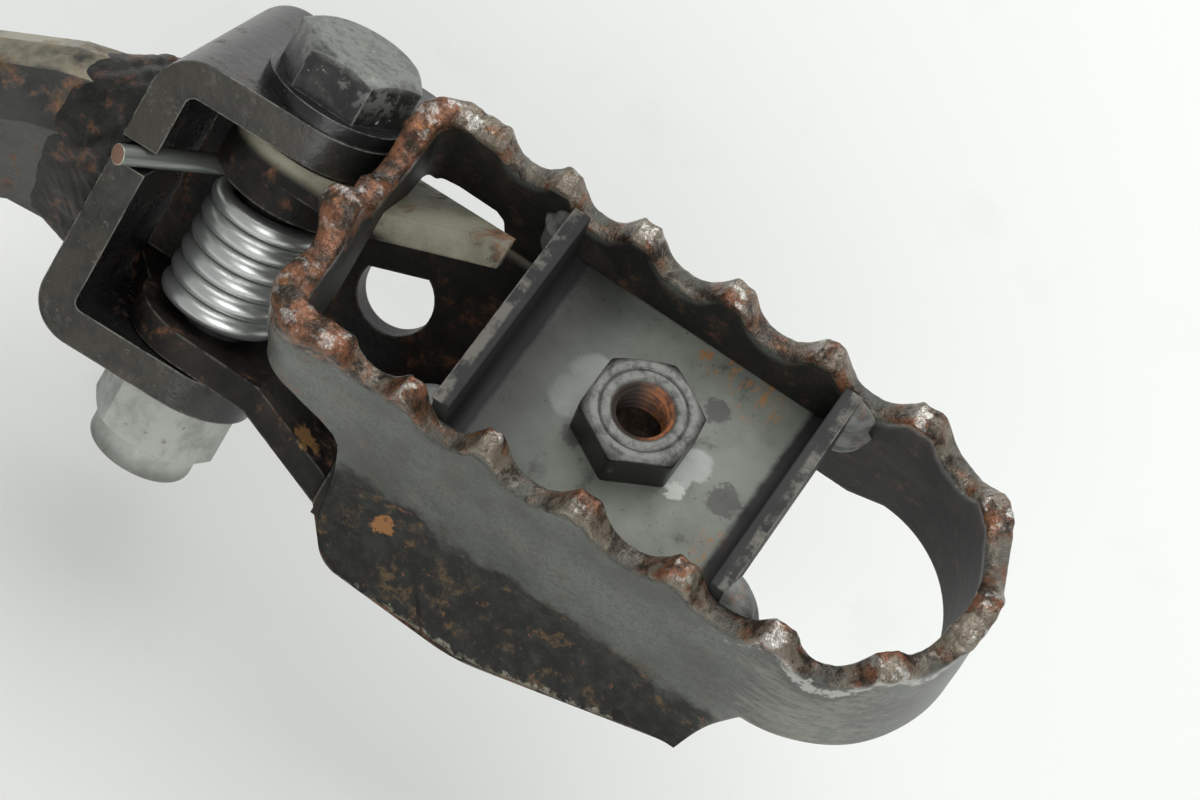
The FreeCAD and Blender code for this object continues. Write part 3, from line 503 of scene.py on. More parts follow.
def tread_ring():
    """Strip section carried round the path, from the outer foot over a rounded cap to the inner foot.
    The top dips at each scoop, and bells just under it hammer the crests wider. On the near side the wall
    flares with the square of its depth and spills over the flange at the hinge's lean."""
    points, outward, run = ring_path(RING_STEPS)
    reach = points[:, 0] - RING_BACK
    dip, crest = scoops(run)
    top = CREST - dip - 0.25 * (1 + ripple(run, 23.0, 2)) * crest + 0.12 * ripple(run, 3.7, 1)
    near = step(-outward[:, 1], 0.0, 0.4)
    inboard = step(-outward[:, 0], 0.3, 0.9)
    foot = step(reach, 16.6, 18.6) * step(reach, 90.0, 84.0) * near
    apron = foot * np.interp(reach, *APRON) * (1 + 0.025 * ripple(run, 9.0, 6))
    lip = crest * (0.5 + 0.25 * ripple(run, 7.1, 3)) + 0.45 * inboard
    bulge = hump(run, INBOARD_BULGE, 4.5)
    corner = 1.6 * hump(run, NEAR_CORNER, 8.0)
    bottom = lower_edge(points, near, inboard)
    run, reach, crest, top, inboard, foot, apron, lip, bulge, corner, bottom = (
        row[:, None] for row in (run, reach, crest, top, inboard, foot, apron, lip, bulge, corner, bottom))

    walked = (top - CAP - bottom + apron) * np.linspace(0, 1, OUTER_STEPS) ** 0.9
    spill = np.clip(apron - walked, 0, None)
    wall_z = bottom + np.clip(walked - apron, 0, None)
    outer_z = wall_z - spill * math.sin(LEAN) + 0.12 * foot
    depth_out = top - outer_z
    outer = STRIP / 2 + lip * hump(depth_out, 1.5, 1.6) + 3.2 * bulge * hump(depth_out, 0.5, 4.5)
    outer = outer + corner * hump(depth_out, 6.5, 7.0)
    outer = outer + foot * FLARE * np.clip(CREST - FLARE_START - wall_z, 0, None) ** 2
    outer = outer + 0.10 * ripple(outer_z + run, 31.0, 4) + spill * math.cos(LEAN)

    inner_bottom = bottom + INNER_STEP * foot
    inner_z = (inner_bottom + (top - CAP - inner_bottom) * np.linspace(0, 1, INNER_STEPS))[:, ::-1]
    depth_in = top - inner_z
    inner = -STRIP / 2 - 0.5 * lip * hump(depth_in, 1.3, 1.3) + 2.1 * bulge * hump(depth_in, 0.5, 4.5)
    inner = inner + 0.5 * inboard * (1 - bulge) * hump(depth_in, 0.5, 4.0)

    over = np.linspace(0, math.pi, CAP_STEPS)
    left, right = outer[:, -1:], inner[:, :1]
    cap = (left + right) / 2 + (left - right) / 2 * np.cos(over)
    cap_z = top - CAP + CAP * np.sin(over) ** 0.8 + 0.13 * ripple(cap * 1.3 + run, 4.3, 5) * crest

    across = np.hstack([outer, cap[:, 1:-1], inner])
    height = np.hstack([outer_z, cap_z[:, 1:-1], inner_z])
    plan = points[:, None, :] + outward[:, None, :] * across[..., None]
    grid = np.concatenate([plan, height[..., None]], axis=-1)
    masks = ring_masks(run, top - height, across, crest, inboard)
    masks["foot"] = step(CREST - height, 27.0, 38.0) * foot
    rim = step(spill, np.clip(apron - 2.2, 0.05, None), apron + 0.06)
    rim = rim * (step(apron, 0.6, 2.0) * step(reach, 20.0, 38.0))
    masks["rim"] = np.hstack([rim, np.zeros((RING_STEPS, across.shape[1] - OUTER_STEPS))])
    ring = grid_piece("ring_strip", grid, around=True, along=True,
                      masks={mask: np.clip(values, 0, 1) for mask, values in masks.items()})
    ring.data.materials.append(worn_tread())
    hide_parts("tread_ring")
    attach(ring, "footrest")


tread_ring()


# Return spring

WIRE = 1.7
COIL = 8.55
COIL_START = 8.3
COIL_PITCH = 3.44
LEG_TIP = (-22.1, 6.6, 16.7)
FOOT_LEG = 24.0
COIL_TURNS = 6
COIL_STEPS = 560
LEG_STEPS = 60
WIRE_SIDES = 18

# Points from the tip where the leg's dull finish ends and is full
LEG_FADE = (75.0, 55.0)


def spring_wire():
    """Wire drawn bright, with dark oil in the grooves, a few brown stains and a brown cut end."""
    f = Finish("spring_wire")
    stain = f.ramp(f.noise(4.0, 5.0, 0.7), 0.55, 0.72)
    colour = f.mix(f.times(stain, 0.45), (0.60, 0.62, 0.605), (0.36, 0.34, 0.30))
    drawn = f.noise(0.7, 4.0, 0.7, place=f.stretched((1.0, 4.0, 4.0), (50, 0, 0)))
    colour = f.mix(f.ramp(drawn, 0.48, 0.78, 0.0, 0.30), colour, (0.50, 0.51, 0.50))
    colour = f.mix(f.times(f.mask("leg"), 0.75), colour, (0.40, 0.43, 0.39))
    colour = f.mix(f.mask("cut"), colour, (0.22, 0.125, 0.08))
    f.relief(drawn, 0.25, 0.1)
    rough = f.plus(f.ramp(stain, 0.0, 1.0, 0.30, 0.50), f.times(f.mask("cut"), 0.2))
    return f.surface(colour, rough, f.plus(0.85, f.times(f.mask("cut"), -0.85)))


def return_spring():
    """Round wire carried along its line: a straight leg that touches the coil, a close helix round the bolt
    and a straight leg in the base."""
    tip_x, _, tip_z = LEG_TIP
    turn = math.atan2(tip_z, tip_x) + math.acos(COIL / math.hypot(tip_x, tip_z))
    sweep = 2 * math.pi * COIL_TURNS + math.radians(270) - turn
    angle = np.linspace(0, sweep, COIL_STEPS)
    coil = np.stack([COIL * np.cos(turn + angle), COIL_START - COIL_PITCH * angle / (2 * math.pi),
                     COIL * np.sin(turn + angle)], axis=-1)
    share = np.linspace(0, 1, LEG_STEPS)[:, None]
    leg = np.array(LEG_TIP) * (1 - share ** 1.6) + coil[0] * share ** 1.6
    foot = coil[-1] + share * np.array((FOOT_LEG, 0.0, 0.0))
    line = np.vstack([leg[:-1], coil, foot[1:]])
    ahead = np.gradient(line, axis=0)
    ahead = ahead / np.linalg.norm(ahead, axis=1, keepdims=True)
    side = np.array((0.0, 1.0, 0.0)) - ahead * ahead[:, 1:2]
    side = side / np.linalg.norm(side, axis=1, keepdims=True)
    out = np.cross(ahead, side)
    about = np.linspace(0, 2 * math.pi, WIRE_SIDES, endpoint=False)
    size = np.full(len(line), WIRE)
    size[[0, -1]] = WIRE * 0.90
    ring = side[:, None, :] * np.cos(about)[None, :, None] + out[:, None, :] * np.sin(about)[None, :, None]
    tube = line[:, None, :] + ring * size[:, None, None]
    ends = np.zeros(len(line))
    ends[[0, -1]] = 1.0
    legs = step(np.arange(len(line)), *LEG_FADE) * (1 - ends)
    even = np.ones(WIRE_SIDES)
    spring = grid_piece("coil_wire", from_hinge(tube), around=True, ends=True,
                        masks={"cut": ends[:, None] * even, "leg": legs[:, None] * even})
    spring.data.materials.append(spring_wire())
    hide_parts("return_spring")
    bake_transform(spring)


return_spring()


# Centre nut and the dirt under it

NUT = np.array((155.5, 15.0, 36.6))
NUT_FLAT = 8.5
NUT_FACE = 8.25
NUT_HEIGHT = 8.0
THREAD_RADIUS = 4.35
THREAD_DEPTH = 0.38
THREAD_PITCH = 1.5
NUT_STEPS = 120
BORE_STEPS = 72
DIRT_RADIUS = 5.2
DIRT_FOOT = -2.6

# Rings over the nut's face, groove and countersink: radii and heights from the top
FACE_RADII = np.array((7.6, 7.15, 6.95, 6.85, 6.7, 6.6, 6.4, 6.0, 5.4, 5.15, 5.0, 4.75))
FACE_RISES = np.array((0.0, 0.0, -0.06, -0.4, -0.4, -0.06, 0.0, 0.0, 0.0, -0.05, -0.25, -0.6))


def nut_finish():
    """Nut: black sides mottled dark grey, top worn to mid grey, and orange rust on the thread, with painted
    shade turning it near black away from its lit side.
    """
    f = Finish("pad_nut_finish")
    worn = f.times(f.mask("face"), f.ramp(f.noise(2.6, 6.0, 0.68), 0.30, 0.56, 0.45, 1.0))
    side = f.mix(f.ramp(f.noise(2.6, 5.0, 0.7), 0.58, 0.70), BLACK, (0.09, 0.08, 0.07))
    top = f.mix(f.ramp(f.noise(1.5, 5.0, 0.7), 0.46, 0.62), (0.180, 0.180, 0.165), (0.080, 0.080, 0.074))
    colour = f.mix(worn, side, top)
    rust = f.mix(f.ramp(f.noise(2.2, 5.0, 0.7), 0.42, 0.62), (0.36, 0.13, 0.045), (0.12, 0.05, 0.028))
    # Painted shade: the thread's rust turns near black away from the lit side
    rust = f.mix(f.mask("lit_side"), (0.028, 0.017, 0.012), rust)
    colour = f.mix(f.mask("thread"), colour, rust)
    f.relief(f.noise(0.9, 5.0, 0.7), 0.35, 0.2)
    rough = f.plus(0.34, f.times(worn, 0.12), f.times(f.mask("thread"), 0.25))
    return f.surface(colour, rough, f.times(worn, 0.25))


def pad_nut():
    """Hexagon nut as one closed band of rings. The sides' radius is the flat over the largest cosine to a
    flat's direction, softened by a power mean. Chamfer, face, groove and countersink follow, then a bore
    whose radius swings with the thread's pitch and the angle."""
    angle = np.linspace(0, 2 * math.pi, NUT_STEPS, endpoint=False)
    flats = np.abs(np.cos(angle[:, None] - np.radians(60.0 * np.arange(3))))
    hexagon = NUT_FLAT / (flats ** 60).sum(1) ** (1 / 60)
    drop = (hexagon - NUT_FACE) * math.tan(math.radians(30))
    rise = np.linspace(0.0, 1.0, 12)[:, None]
    side_z = rise * (NUT_HEIGHT - drop - 0.15)
    side_r = hexagon * np.ones_like(rise)
    ease = np.linspace(0.1, 1.0, 6)[:, None]
    chamfer_z = NUT_HEIGHT - (drop + 0.15) * (1 - ease) ** 1.15
    chamfer_r = hexagon + (NUT_FACE - 0.15 - hexagon) * ease
    down = np.linspace(0.7, NUT_HEIGHT - 0.3, BORE_STEPS)[:, None]
    turn = 2 * math.pi * down / THREAD_PITCH + angle
    bore_r = THREAD_RADIUS + THREAD_DEPTH * np.cos(turn) * step(down, 0.7, 1.2)
    bore_z = (NUT_HEIGHT - down) * np.ones_like(angle)
    even = np.ones_like(angle)
    radius = np.vstack([side_r, chamfer_r, FACE_RADII[:, None] * even, bore_r, 4.8 * even])
    face_z = NUT_HEIGHT + FACE_RISES[:, None] * even
    height = np.vstack([side_z, chamfer_z, face_z, bore_z, 0.0 * even])
    grid = np.stack([radius * np.cos(angle), radius * np.sin(angle), height], axis=-1) + NUT
    face = step(height, NUT_HEIGHT - 0.9, NUT_HEIGHT - 0.1) * step(radius, 4.6, 4.9)
    thread = step(radius, 5.05, 4.7) * np.ones_like(height)
    # Painted light and shade: the side of the bore turned 25 degrees round is lit, the far side shaded
    bright = step(np.cos(angle - math.radians(25)), -0.35, 0.75) * np.ones_like(height)
    nut = grid_piece("hexagon_nut", grid, around=True, along=True,
                     masks={"face": face, "thread": thread, "lit_side": bright})
    nut.data.materials.append(nut_finish())
    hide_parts("pad_nut")
    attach(nut, "footrest")


pad_nut()


def packed_dirt():
    """Dried dirt in the hole under the nut: rings about its middle, flat below, with a top that rises with
    the square of the radius and ripples less towards its rim."""
    angle = np.linspace(0, 2 * math.pi, 60, endpoint=False)
    share = np.linspace(0.02, 1.0, 14)[:, None]
    uneven = 0.5 * ripple(share * 5.0 + 2.0 * np.cos(angle), 4.1, 2) + 0.3 * ripple(angle + share, 1.6, 4)
    top_z = -1.1 + 0.9 * share ** 2 + 0.5 * uneven * (1 - share ** 3)
    under_z = np.full_like(top_z, DIRT_FOOT)
    radius = np.vstack([share, share[::-1]]) * DIRT_RADIUS * np.ones_like(angle)
    height = np.vstack([top_z, under_z])
    grid = np.stack([radius * np.cos(angle), radius * np.sin(angle), height], axis=-1) + NUT
    dirt = grid_piece("packed_dirt", grid, around=True, ends=True)
    f = Finish("dried_dirt")
    colour = f.mix(f.ramp(f.noise(1.2, 6.0, 0.7), 0.38, 0.66), (0.020, 0.014, 0.010), (0.085, 0.048, 0.028))
    f.relief(f.noise(0.7, 6.0, 0.75), 0.8, 0.4)
    dirt.data.materials.append(f.surface(colour, f.ramp(f.noise(1.5, 4.0, 0.6), 0.3, 0.7, 0.78, 0.95), 0.0))
    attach(dirt, "footrest")


packed_dirt()


# Weld beads

def weld_paint(name, base, rust):
    """Black paint run over a rough bead, with rust in its hollows."""
    f = Finish(name)
    lump = f.noise(3.2, 5.0, 0.65)
    colour = f.mix(f.ramp(lump, 0.36, 0.64), tuple(c * 0.5 for c in base), base)
    colour = f.mix(f.times(f.ramp(f.noise(4.5, 6.0, 0.72), 0.52, 0.66), rust), colour, rust_colours(f))
    f.relief(f.plus(lump, f.times(f.noise(1.1, 4.0, 0.6), 0.4)), 0.7, 0.6)
    return f.surface(colour, f.ramp(lump, 0.3, 0.7, 0.34, 0.56), 0.0, shine=0.25)


# Each saddle bead's end, side, size and upper end
SADDLE_BEADS = ((-1, -1, 3.8, 48.4), (-1, 1, 3.2, 47.0), (1, -1, 5.7, 49.4), (1, 1, 3.6, 48.0))
BEAD_FOOT = 36.7
SADDLE_HALF = 25.9
BEAD_ROOT = -0.4


def saddle_welds():
    """Four upright beads: a hollow quarter round between the saddle's face and the wall, cosine and sine to
    the power 1.25, closed back along the corner. Its size ripples with height and shrinks to the top."""
    paint = weld_paint("bead_paint", (0.205, 0.213, 0.203), rust=0.40)
    wall = RING_WIDTH / 2 - STRIP
    rise = np.linspace(0, 1, 40)
    turn = np.linspace(0, math.pi / 2, 14)
    root = np.full((len(rise), 1), BEAD_ROOT)
    for number, (end, side, size, head) in enumerate(SADDLE_BEADS):
        lumps = 1 + 0.18 * ripple(rise * 11.0, 6.4, number) + 0.04 * ripple(rise * 11.0, 2.1, number + 3)
        closing = np.clip(1 - rise ** 7, 0.03, 1) ** 0.7
        bead = (size * lumps * closing)[:, None]
        x = NUT[0] + end * (SADDLE_HALF + np.hstack([bead * np.cos(turn) ** 1.25, root]))
        y = MIDDLE + side * (wall - np.hstack([bead * np.sin(turn) ** 1.25, root]))
        z = (BEAD_FOOT + (head - BEAD_FOOT) * rise)[:, None] * np.ones_like(x)
        grid = np.stack([x, y, z], axis=-1)
        weld = grid_piece("saddle_bead_%d" % (number + 1), grid, around=True, ends=True)
        weld.data.materials.append(paint)
        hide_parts("saddle_welds")
        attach(weld, "footrest")


saddle_welds()


# The collar's two ends, and the arm that it starts from, in the pivot's own axes
COLLAR_START = -38.0
COLLAR_END = -20.6
COLLAR_STEPS = 160
CLEVIS_BACK = -23.4
ARM_TAPER = 15.0
ARM_HALF_WIDTH = 15.3
ARM_HALF_DEPTH = 11.0


def arm_weld():
    """Collar that flows from the arm to the clevis: the arm's eight-cornered outline, rounded by averaging
    along it and pushed outwards by a lumpy amount that grows with the nearness to the clevis to the power
    1.6."""
    reach = np.linspace(COLLAR_START, COLLAR_END, 48)
    behind = np.clip(CLEVIS_BACK - reach, 0, ARM_TAPER)
    wide = ARM_HALF_WIDTH + 1.5 * (1 - behind / ARM_TAPER)
    high = np.full_like(reach, ARM_HALF_DEPTH)
    low = -high
    ridge = wide - 2.65
    corners_u = np.stack([-wide, -wide + 4.5, ridge - 5, wide, wide, ridge, ridge - 10, -wide], axis=1)
    corners_v = np.stack([low + 4.5, low, low, high - 10.5, high - 6, high, high, high - 12], axis=1)
    corners = np.stack([corners_u, corners_v], axis=-1)
    lengths = np.linalg.norm(np.roll(corners[-1], -1, axis=0) - corners[-1], axis=1)
    walked = np.concatenate([[0], np.cumsum(lengths)])
    place = np.interp(np.linspace(0, walked[-1], COLLAR_STEPS, endpoint=False), walked, np.arange(9))
    first = place.astype(int)
    share = (place - first)[None, :, None]
    loop = corners[:, first] * (1 - share) + corners[:, (first + 1) % 8] * share
    loop = sum(np.roll(loop, shift, axis=1) for shift in range(-3, 4)) / 7
    outward = loop / np.linalg.norm(loop, axis=-1, keepdims=True)
    nearness = step(reach, COLLAR_START, -24.0)[:, None] ** 1.6
    amount = 2.4 + 1.4 * step(outward[..., 1], 0.2, 0.9) + 0.8 * step(-outward[..., 0], 0.3, 0.9)
    around = walked[-1] * np.arange(COLLAR_STEPS) / COLLAR_STEPS
    lumps = 0.55 * ripple(around + 0.6 * reach[:, None], 11.0, 3)
    lumps = lumps + 0.35 * ripple(around - reach[:, None], 5.3, 1)
    grow = (amount + lumps) * nearness - 0.15
    grow = grow - 5.0 * step(reach, -22.6, COLLAR_END)[:, None] ** 2
    loop = loop + outward * grow[..., None]
    along = loop[..., 0] - 3.0 * (behind / ARM_TAPER)[:, None]
    points = np.stack([reach[:, None] * np.ones_like(along), along, loop[..., 1] - 1.0], axis=-1)
    collar = grid_piece("arm_bead", from_hinge(points), around=True, ends=True)
    collar.data.materials.append(weld_paint("collar_paint", (0.024, 0.024, 0.022), rust=0.45))
    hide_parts("arm_weld")
    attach(collar, "bracket")


arm_weld()


# Finishes of the solids that stay

def dress(node, material):
    """Gives a solid its finish."""
    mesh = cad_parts[node].data
    mesh.materials.clear()
    mesh.materials.append(material)


# Marks on the tray: places, radii and how ragged the chalk's rims are
TIDE_MARKS = (((144.8, 14.4, 36.6), 4.3, 0.3), ((146.2, 19.2, 36.6), 4.5, 0.4),
              ((165.8, 16.2, 36.6), 3.2, 0.4), ((164.8, 12.6, 36.6), 2.8, 0.4))
CRUMBS = (165.6, 10.8, 36.6)
RUST_STREAKS = (((168.0, 31.5, 36.8), 5.0), ((160.0, 33.8, 37.2), 4.0), ((176.0, 5.5, 37.0), 4.2))
SMUDGES = (((172.5, 14.0, 36.6), 3.0), ((148.5, 9.0, 36.6), 2.2), ((164.0, 26.0, 36.6), 2.4))

# Where the tray's painted shade, the painted shade at the feet of its uprights, the uprights and the rubs on
# them begin and are full, in metres
TRAY_SHADE = (0.152, 0.137)
LEFT_BEND_SHADE, RIGHT_BEND_SHADE = (0.1356, 0.1346), (0.1750, 0.1763)
LEFT_RUB, RIGHT_RUB = (0.1316, 0.1310), (0.1795, 0.1801)
UPRIGHT_FOOT, UPRIGHT_HEAD, UPRIGHT_TOP = (0.03668, 0.0374), (0.0455, 0.0480), (0.0484, 0.0489)


def saddle_paint():
    """Tray: satin grey, with painted shade towards the inboard end, chalky tide marks round the nut, orange
    streaks, dark smudges and black uprights with painted shade at their feet, whose tops are rubbed pale
    along the outer edge."""
    f = Finish("saddle_paint")
    cloud = f.noise(12.0, 5.0, 0.58)
    colour = f.mix(f.ramp(cloud, 0.32, 0.70), (0.238, 0.254, 0.214), (0.146, 0.156, 0.132))
    smudge = f.ramp(f.noise(6.0, 6.0, 0.7), 0.57, 0.68)
    colour = f.mix(f.times(smudge, 0.6), colour, (0.055, 0.053, 0.048))
    dots = f.ramp(f.noise(0.9, 3.0, 0.6), 0.66, 0.72)
    colour = f.mix(f.times(dots, 0.6), colour, (0.05, 0.045, 0.04))
    tide = 0.0
    for centre, radius, ragged in TIDE_MARKS:
        tide = f.calc("MAXIMUM", tide, f.spot(centre, radius, ragged, 4.0))
    colour = f.mix(f.times(tide, f.ramp(f.noise(5.0, 4.0, 0.6), 0.25, 0.60, 0.50, 0.90)), colour, CHALK)
    crumbs = f.times(f.spot(CRUMBS, 1.7, 1.0, 1.0), 0.75)
    colour = f.mix(crumbs, colour, (0.60, 0.63, 0.58))
    streaks = f.ramp(f.noise(1.4, 5.0, 0.75, place=f.stretched((1.0, 0.45, 1.0))), 0.50, 0.62)
    for centre, radius in RUST_STREAKS:
        colour = f.mix(f.times(f.spot(centre, radius, 0.7, 2.0), streaks, 0.85), colour, (0.36, 0.165, 0.055))
    for centre, radius in SMUDGES:
        colour = f.mix(f.times(f.spot(centre, radius, 0.8, 1.6), 0.7), colour, (0.045, 0.043, 0.040))
    shade = f.times(f.ramp(f.axis("X"), *TRAY_SHADE), 0.92)
    colour = f.mix(shade, colour, (0.027, 0.029, 0.026))
    ragged = f.plus(f.axis("X"), f.sway(0.0012, 3.0, 5.0, 0.7))
    # Painted shade: near black over the bent feet of the uprights and a little onto the tray; black paint up
    # the uprights
    bend_shade = f.calc("MAXIMUM", f.ramp(ragged, *LEFT_BEND_SHADE), f.ramp(ragged, *RIGHT_BEND_SHADE))
    upright = f.calc("MAXIMUM", bend_shade, f.ramp(f.axis("Z"), *UPRIGHT_FOOT))
    colour = f.mix(f.times(upright, 0.95), colour, (0.014, 0.015, 0.015))
    left, right = f.ramp(ragged, *LEFT_RUB), f.ramp(ragged, *RIGHT_RUB)
    corner = f.times(f.edge(0.5), f.ramp(f.noise(3.0, 5.0, 0.7), 0.34, 0.56))
    rub = f.times(corner, f.ramp(f.axis("Z"), *UPRIGHT_HEAD), f.calc("MAXIMUM", left, right))
    top = f.times(f.ramp(f.axis("Z"), *UPRIGHT_TOP), f.ramp(f.noise(4.0, 5.0, 0.7), 0.42, 0.60),
                  f.plus(f.times(left, 0.40), f.times(right, 0.45)))
    colour = f.mix(f.calc("MAXIMUM", rub, top), colour, (0.290, 0.275, 0.235))
    f.relief(f.plus(f.noise(1.2, 5.0, 0.65), f.times(smudge, 0.3)), 0.3, 0.25)
    rough = f.plus(f.ramp(cloud, 0.3, 0.7, 0.32, 0.46), f.times(upright, 0.25))
    return f.surface(colour, rough, 0.0, shine=0.35)


# Places and radii of the base's rust spots, and where the painted light on its far lug's face and its flange
# begin and are full
RUST_SPOTS = (((127.0, 22.0, 9.0), 3.0), ((113.5, -3.0, 12.0), 3.4))
FAR_LUG_LIT_FACE = (16.5, 18.6)
FLANGE_START = (26.0, 40.0)


def hinge_paint():
    """Hinge base: black brown, rusting in blotches towards the flange, with painted light in olive grey on
    the far lug's outer face, and flaked pale along its edges, most at the flange."""
    f = Finish("hinge_paint")
    cloud = f.noise(9.0, 5.0, 0.62)
    colour = f.mix(f.ramp(cloud, 0.36, 0.68), (0.008, 0.0075, 0.007), (0.026, 0.023, 0.019))
    # Painted light: the far lug's outer face lightened to olive grey
    lit = f.ramp(f.noise(8.0, 5.0, 0.65), 0.30, 0.62, 0.60, 1.0)
    lit = f.times(f.ramp(f.on_pivot(UP_BOLT), *FAR_LUG_LIT_FACE), lit)
    colour = f.mix(f.times(lit, 0.92), colour, (0.300, 0.290, 0.215))
    on_flange = f.ramp(f.on_pivot(OUTBOARD), *FLANGE_START)
    blot = f.ramp(f.plus(f.noise(7.0, 7.0, 0.70, 0.3), f.times(on_flange, 0.07)), 0.54, 0.68)
    colour = f.mix(f.times(blot, 0.85), colour, rust_colours(f))
    for centre, radius in RUST_SPOTS:
        colour = f.mix(f.times(f.spot(centre, radius, 1.2, 2.0), 0.65), colour, (0.300, 0.160, 0.060))
    rim = f.times(f.edge(0.7), f.ramp(f.noise(2.6, 5.0, 0.72), 0.40, 0.58))
    colour = f.mix(f.times(rim, f.plus(0.55, f.times(on_flange, 0.4))), colour, (0.270, 0.240, 0.195))
    f.relief(f.plus(f.times(f.noise(1.8, 6.0, 0.68), 0.8), f.times(blot, 0.6)), 0.55, 0.45)
    rough = f.ramp(f.plus(blot, f.times(cloud, 0.3)), 0.0, 1.0, 0.38, 0.72)
    return f.surface(colour, rough, 0.0, shine=0.20)


# Places along the bolt where the head's foot, sides and end and the lock nut's end begin and are full
HEAD_FOOT, HEAD_SIDES, HEAD_END = (27.0, 29.0), (28.0, 35.0), (34.6, 36.2)
LOCK_NUT_END = (-37.0, -41.0)


def bolt_finish():
    """Bolt: black with grey chips, the head's end rubbed to grey green with pale edges and white flecks."""
    f = Finish("bolt_finish")
    along_bolt = f.on_pivot(UP_BOLT)
    end = f.ramp(along_bolt, *HEAD_END)
    patch = f.noise(3.6, 6.0, 0.68)
    worn = f.times(end, f.ramp(patch, 0.36, 0.60, 0.35, 1.0))
    colour = f.mix(f.ramp(f.noise(5.0, 5.0, 0.65), 0.40, 0.66), BLACK, (0.036, 0.036, 0.034))
    rubbed = f.mix(f.ramp(f.noise(1.6, 5.0, 0.7), 0.45, 0.65), (0.215, 0.225, 0.200), (0.095, 0.100, 0.088))
    colour = f.mix(worn, colour, rubbed)
    chips = f.times(f.ramp(f.noise(3.4, 6.0, 0.72), 0.50, 0.58), f.ramp(along_bolt, *HEAD_SIDES), 0.7)
    colour = f.mix(chips, colour, (0.190, 0.196, 0.180))
    rim = f.times(f.edge(0.6), f.ramp(f.noise(2.4, 5.0, 0.7), 0.34, 0.56))
    colour = f.mix(f.times(rim, 0.85), colour, (0.330, 0.335, 0.310))
    fleck = f.times(f.ramp(f.noise(2.0, 4.0, 0.7), 0.66, 0.71), f.ramp(along_bolt, *HEAD_FOOT))
    colour = f.mix(f.times(fleck, 0.8), colour, (0.62, 0.63, 0.60))
    f.relief(f.plus(patch, f.times(f.noise(1.0, 4.0, 0.6), 0.4)), 0.4, 0.3)
    return f.surface(colour, f.ramp(patch, 0.3, 0.7, 0.32, 0.48), f.times(worn, 0.25))


def zinc():
    """Lock nut: dull zinc with a grey green bloom and brown specks, dark towards its end."""
    f = Finish("dull_zinc")
    bloom = f.noise(5.0, 5.0, 0.65)
    colour = f.mix(f.ramp(bloom, 0.35, 0.68), (0.46, 0.475, 0.44), (0.30, 0.315, 0.28))
    speck = f.ramp(f.noise(1.6, 5.0, 0.7), 0.62, 0.70)
    colour = f.mix(f.times(speck, 0.6), colour, (0.14, 0.11, 0.08))
    shade = f.ramp(f.on_pivot(UP_BOLT), *LOCK_NUT_END)
    colour = f.mix(f.times(shade, 0.7), colour, (0.07, 0.07, 0.06))
    f.relief(bloom, 0.3, 0.3)
    return f.surface(colour, f.ramp(bloom, 0.3, 0.7, 0.36, 0.54), 0.35)


clevis_paint = painted("clevis_paint", (0.009, 0.009, 0.009), rust=0.50, rim_wear=1.0, blotch=0.57, dull=0.26,
                       rim_size=0.45, rim=(0.270, 0.265, 0.230), dust_and_sheen=0.10)
arm_paint = painted("arm_paint", (0.020, 0.020, 0.019), rust=0.95, blotch=0.50, dust_and_sheen=0.9,
                    dust_and_sheen_facing=HINGE_AXES[UP_BOLT])
plate_paint = painted("plate_paint", (0.012, 0.012, 0.012), rust=0.45, rim_wear=0.7, blotch=0.58)
washer_paint = painted("washer_paint", (0.009, 0.009, 0.009), rust=0.20, rim_wear=1.0, blotch=0.64, dull=0.24,
                       rim_size=0.4, rim=(0.240, 0.242, 0.225))
dress("frame_plate", plate_paint)
dress("clevis", clevis_paint)
dress("bolt_washer", washer_paint)
dress("support_arm", arm_paint)
dress("plate_weld", weld_paint("plate_bead_paint", (0.045, 0.043, 0.040), rust=0.5))
dress("hinge_base", hinge_paint())
dress("pivot_bolt", bolt_finish())
dress("nut_saddle", saddle_paint())
dress("lock_nut", zinc())
dress("lock_nut_insert", zinc())


# Camera, floor and light

def place_camera():
    """Long-lens camera that looks down on the tread, turned so that the footrest runs to the lower right."""
    right = (0.8292, 0.5246, 0.1931)
    up = (-0.5524, 0.7160, 0.4268)
    back = (0.0856, -0.4606, 0.8835)
    spot = (0.2078, -0.3021, 0.6477)
    data = bpy.data.cameras.new("camera")
    data.sensor_width = 36.0
    data.lens = 138.0
    data.clip_start = 0.01
    camera = bpy.data.objects.new("camera", data)
    camera.matrix_world = Matrix([(right[i], up[i], back[i], spot[i]) for i in range(3)] + [(0, 0, 0, 1)])
    bpy.context.scene.collection.objects.link(camera)
    bpy.context.scene.camera = camera


place_camera()


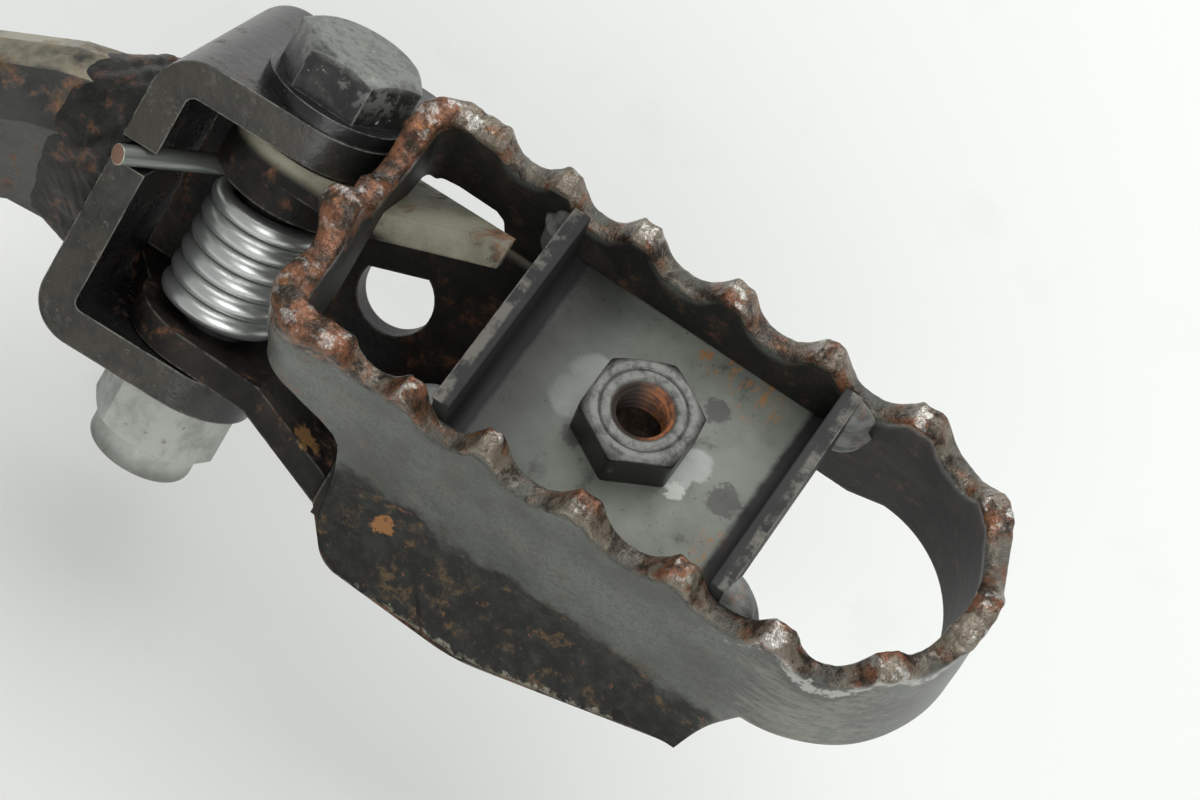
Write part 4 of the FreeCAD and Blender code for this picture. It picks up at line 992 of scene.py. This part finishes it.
def lay_floor():
    """Flat pale square under the plate's lower edge, with faint scuffs."""
    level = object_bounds()[0][2] - 0.0005
    reach = 3.0
    mesh = bpy.data.meshes.new("floor")
    corners = [(x * reach, y * reach, level) for x, y in ((-1, -1), (1, -1), (1, 1), (-1, 1))]
    mesh.from_pydata(corners, [], [(0, 1, 2, 3)])
    floor = bpy.data.objects.new("floor", mesh)
    bpy.context.scene.collection.objects.link(floor)
    f = Finish("pale_floor")
    scuff = f.ramp(f.noise(24.0, 4.0, 0.55), 0.58, 0.75)
    colour = f.mix(f.times(scuff, 0.35), (0.87, 0.88, 0.862), (0.78, 0.79, 0.765))
    mesh.materials.append(f.surface(colour, 0.6, 0.0))


lay_floor()


def soft_lamp(name, spot, target, size, power):
    """Square area lamp at spot, aimed at target."""
    data = bpy.data.lights.new(name, "AREA")
    data.size = size
    data.energy = power
    lamp = bpy.data.objects.new(name, data)
    aim = np.array(spot) - np.array(target)
    aim = aim / np.linalg.norm(aim)
    side = np.cross((0.0, 0.0, 1.0), aim)
    side = side / np.linalg.norm(side)
    top = np.cross(aim, side)
    rows = [(side[i], top[i], aim[i], spot[i]) for i in range(3)]
    lamp.matrix_world = Matrix(rows + [(0, 0, 0, 1)])
    bpy.context.scene.collection.objects.link(lamp)


WORLD_TINT = (0.975, 1.0, 0.975, 1)
WORLD_STRENGTH = 0.42
soft_lamp("window_lamp", spot=(0.35, 1.05, 0.75), target=(0.13, 0.0, 0.02), size=0.8, power=5.0)
soft_lamp("top_lamp", spot=(0.08, 0.52, 1.25), target=(0.12, 0.0, 0.02), size=1.0, power=6.8)
soft_lamp("fill_lamp", spot=(0.55, -0.85, 0.75), target=(0.13, 0.0, 0.02), size=0.9, power=6.6)
world = bpy.data.worlds.new("studio")
world.use_nodes = True
world.node_tree.nodes["Background"].inputs["Color"].default_value = WORLD_TINT
world.node_tree.nodes["Background"].inputs["Strength"].default_value = WORLD_STRENGTH
bpy.context.scene.world = world
bpy.context.scene.view_settings.view_transform = "Standard"
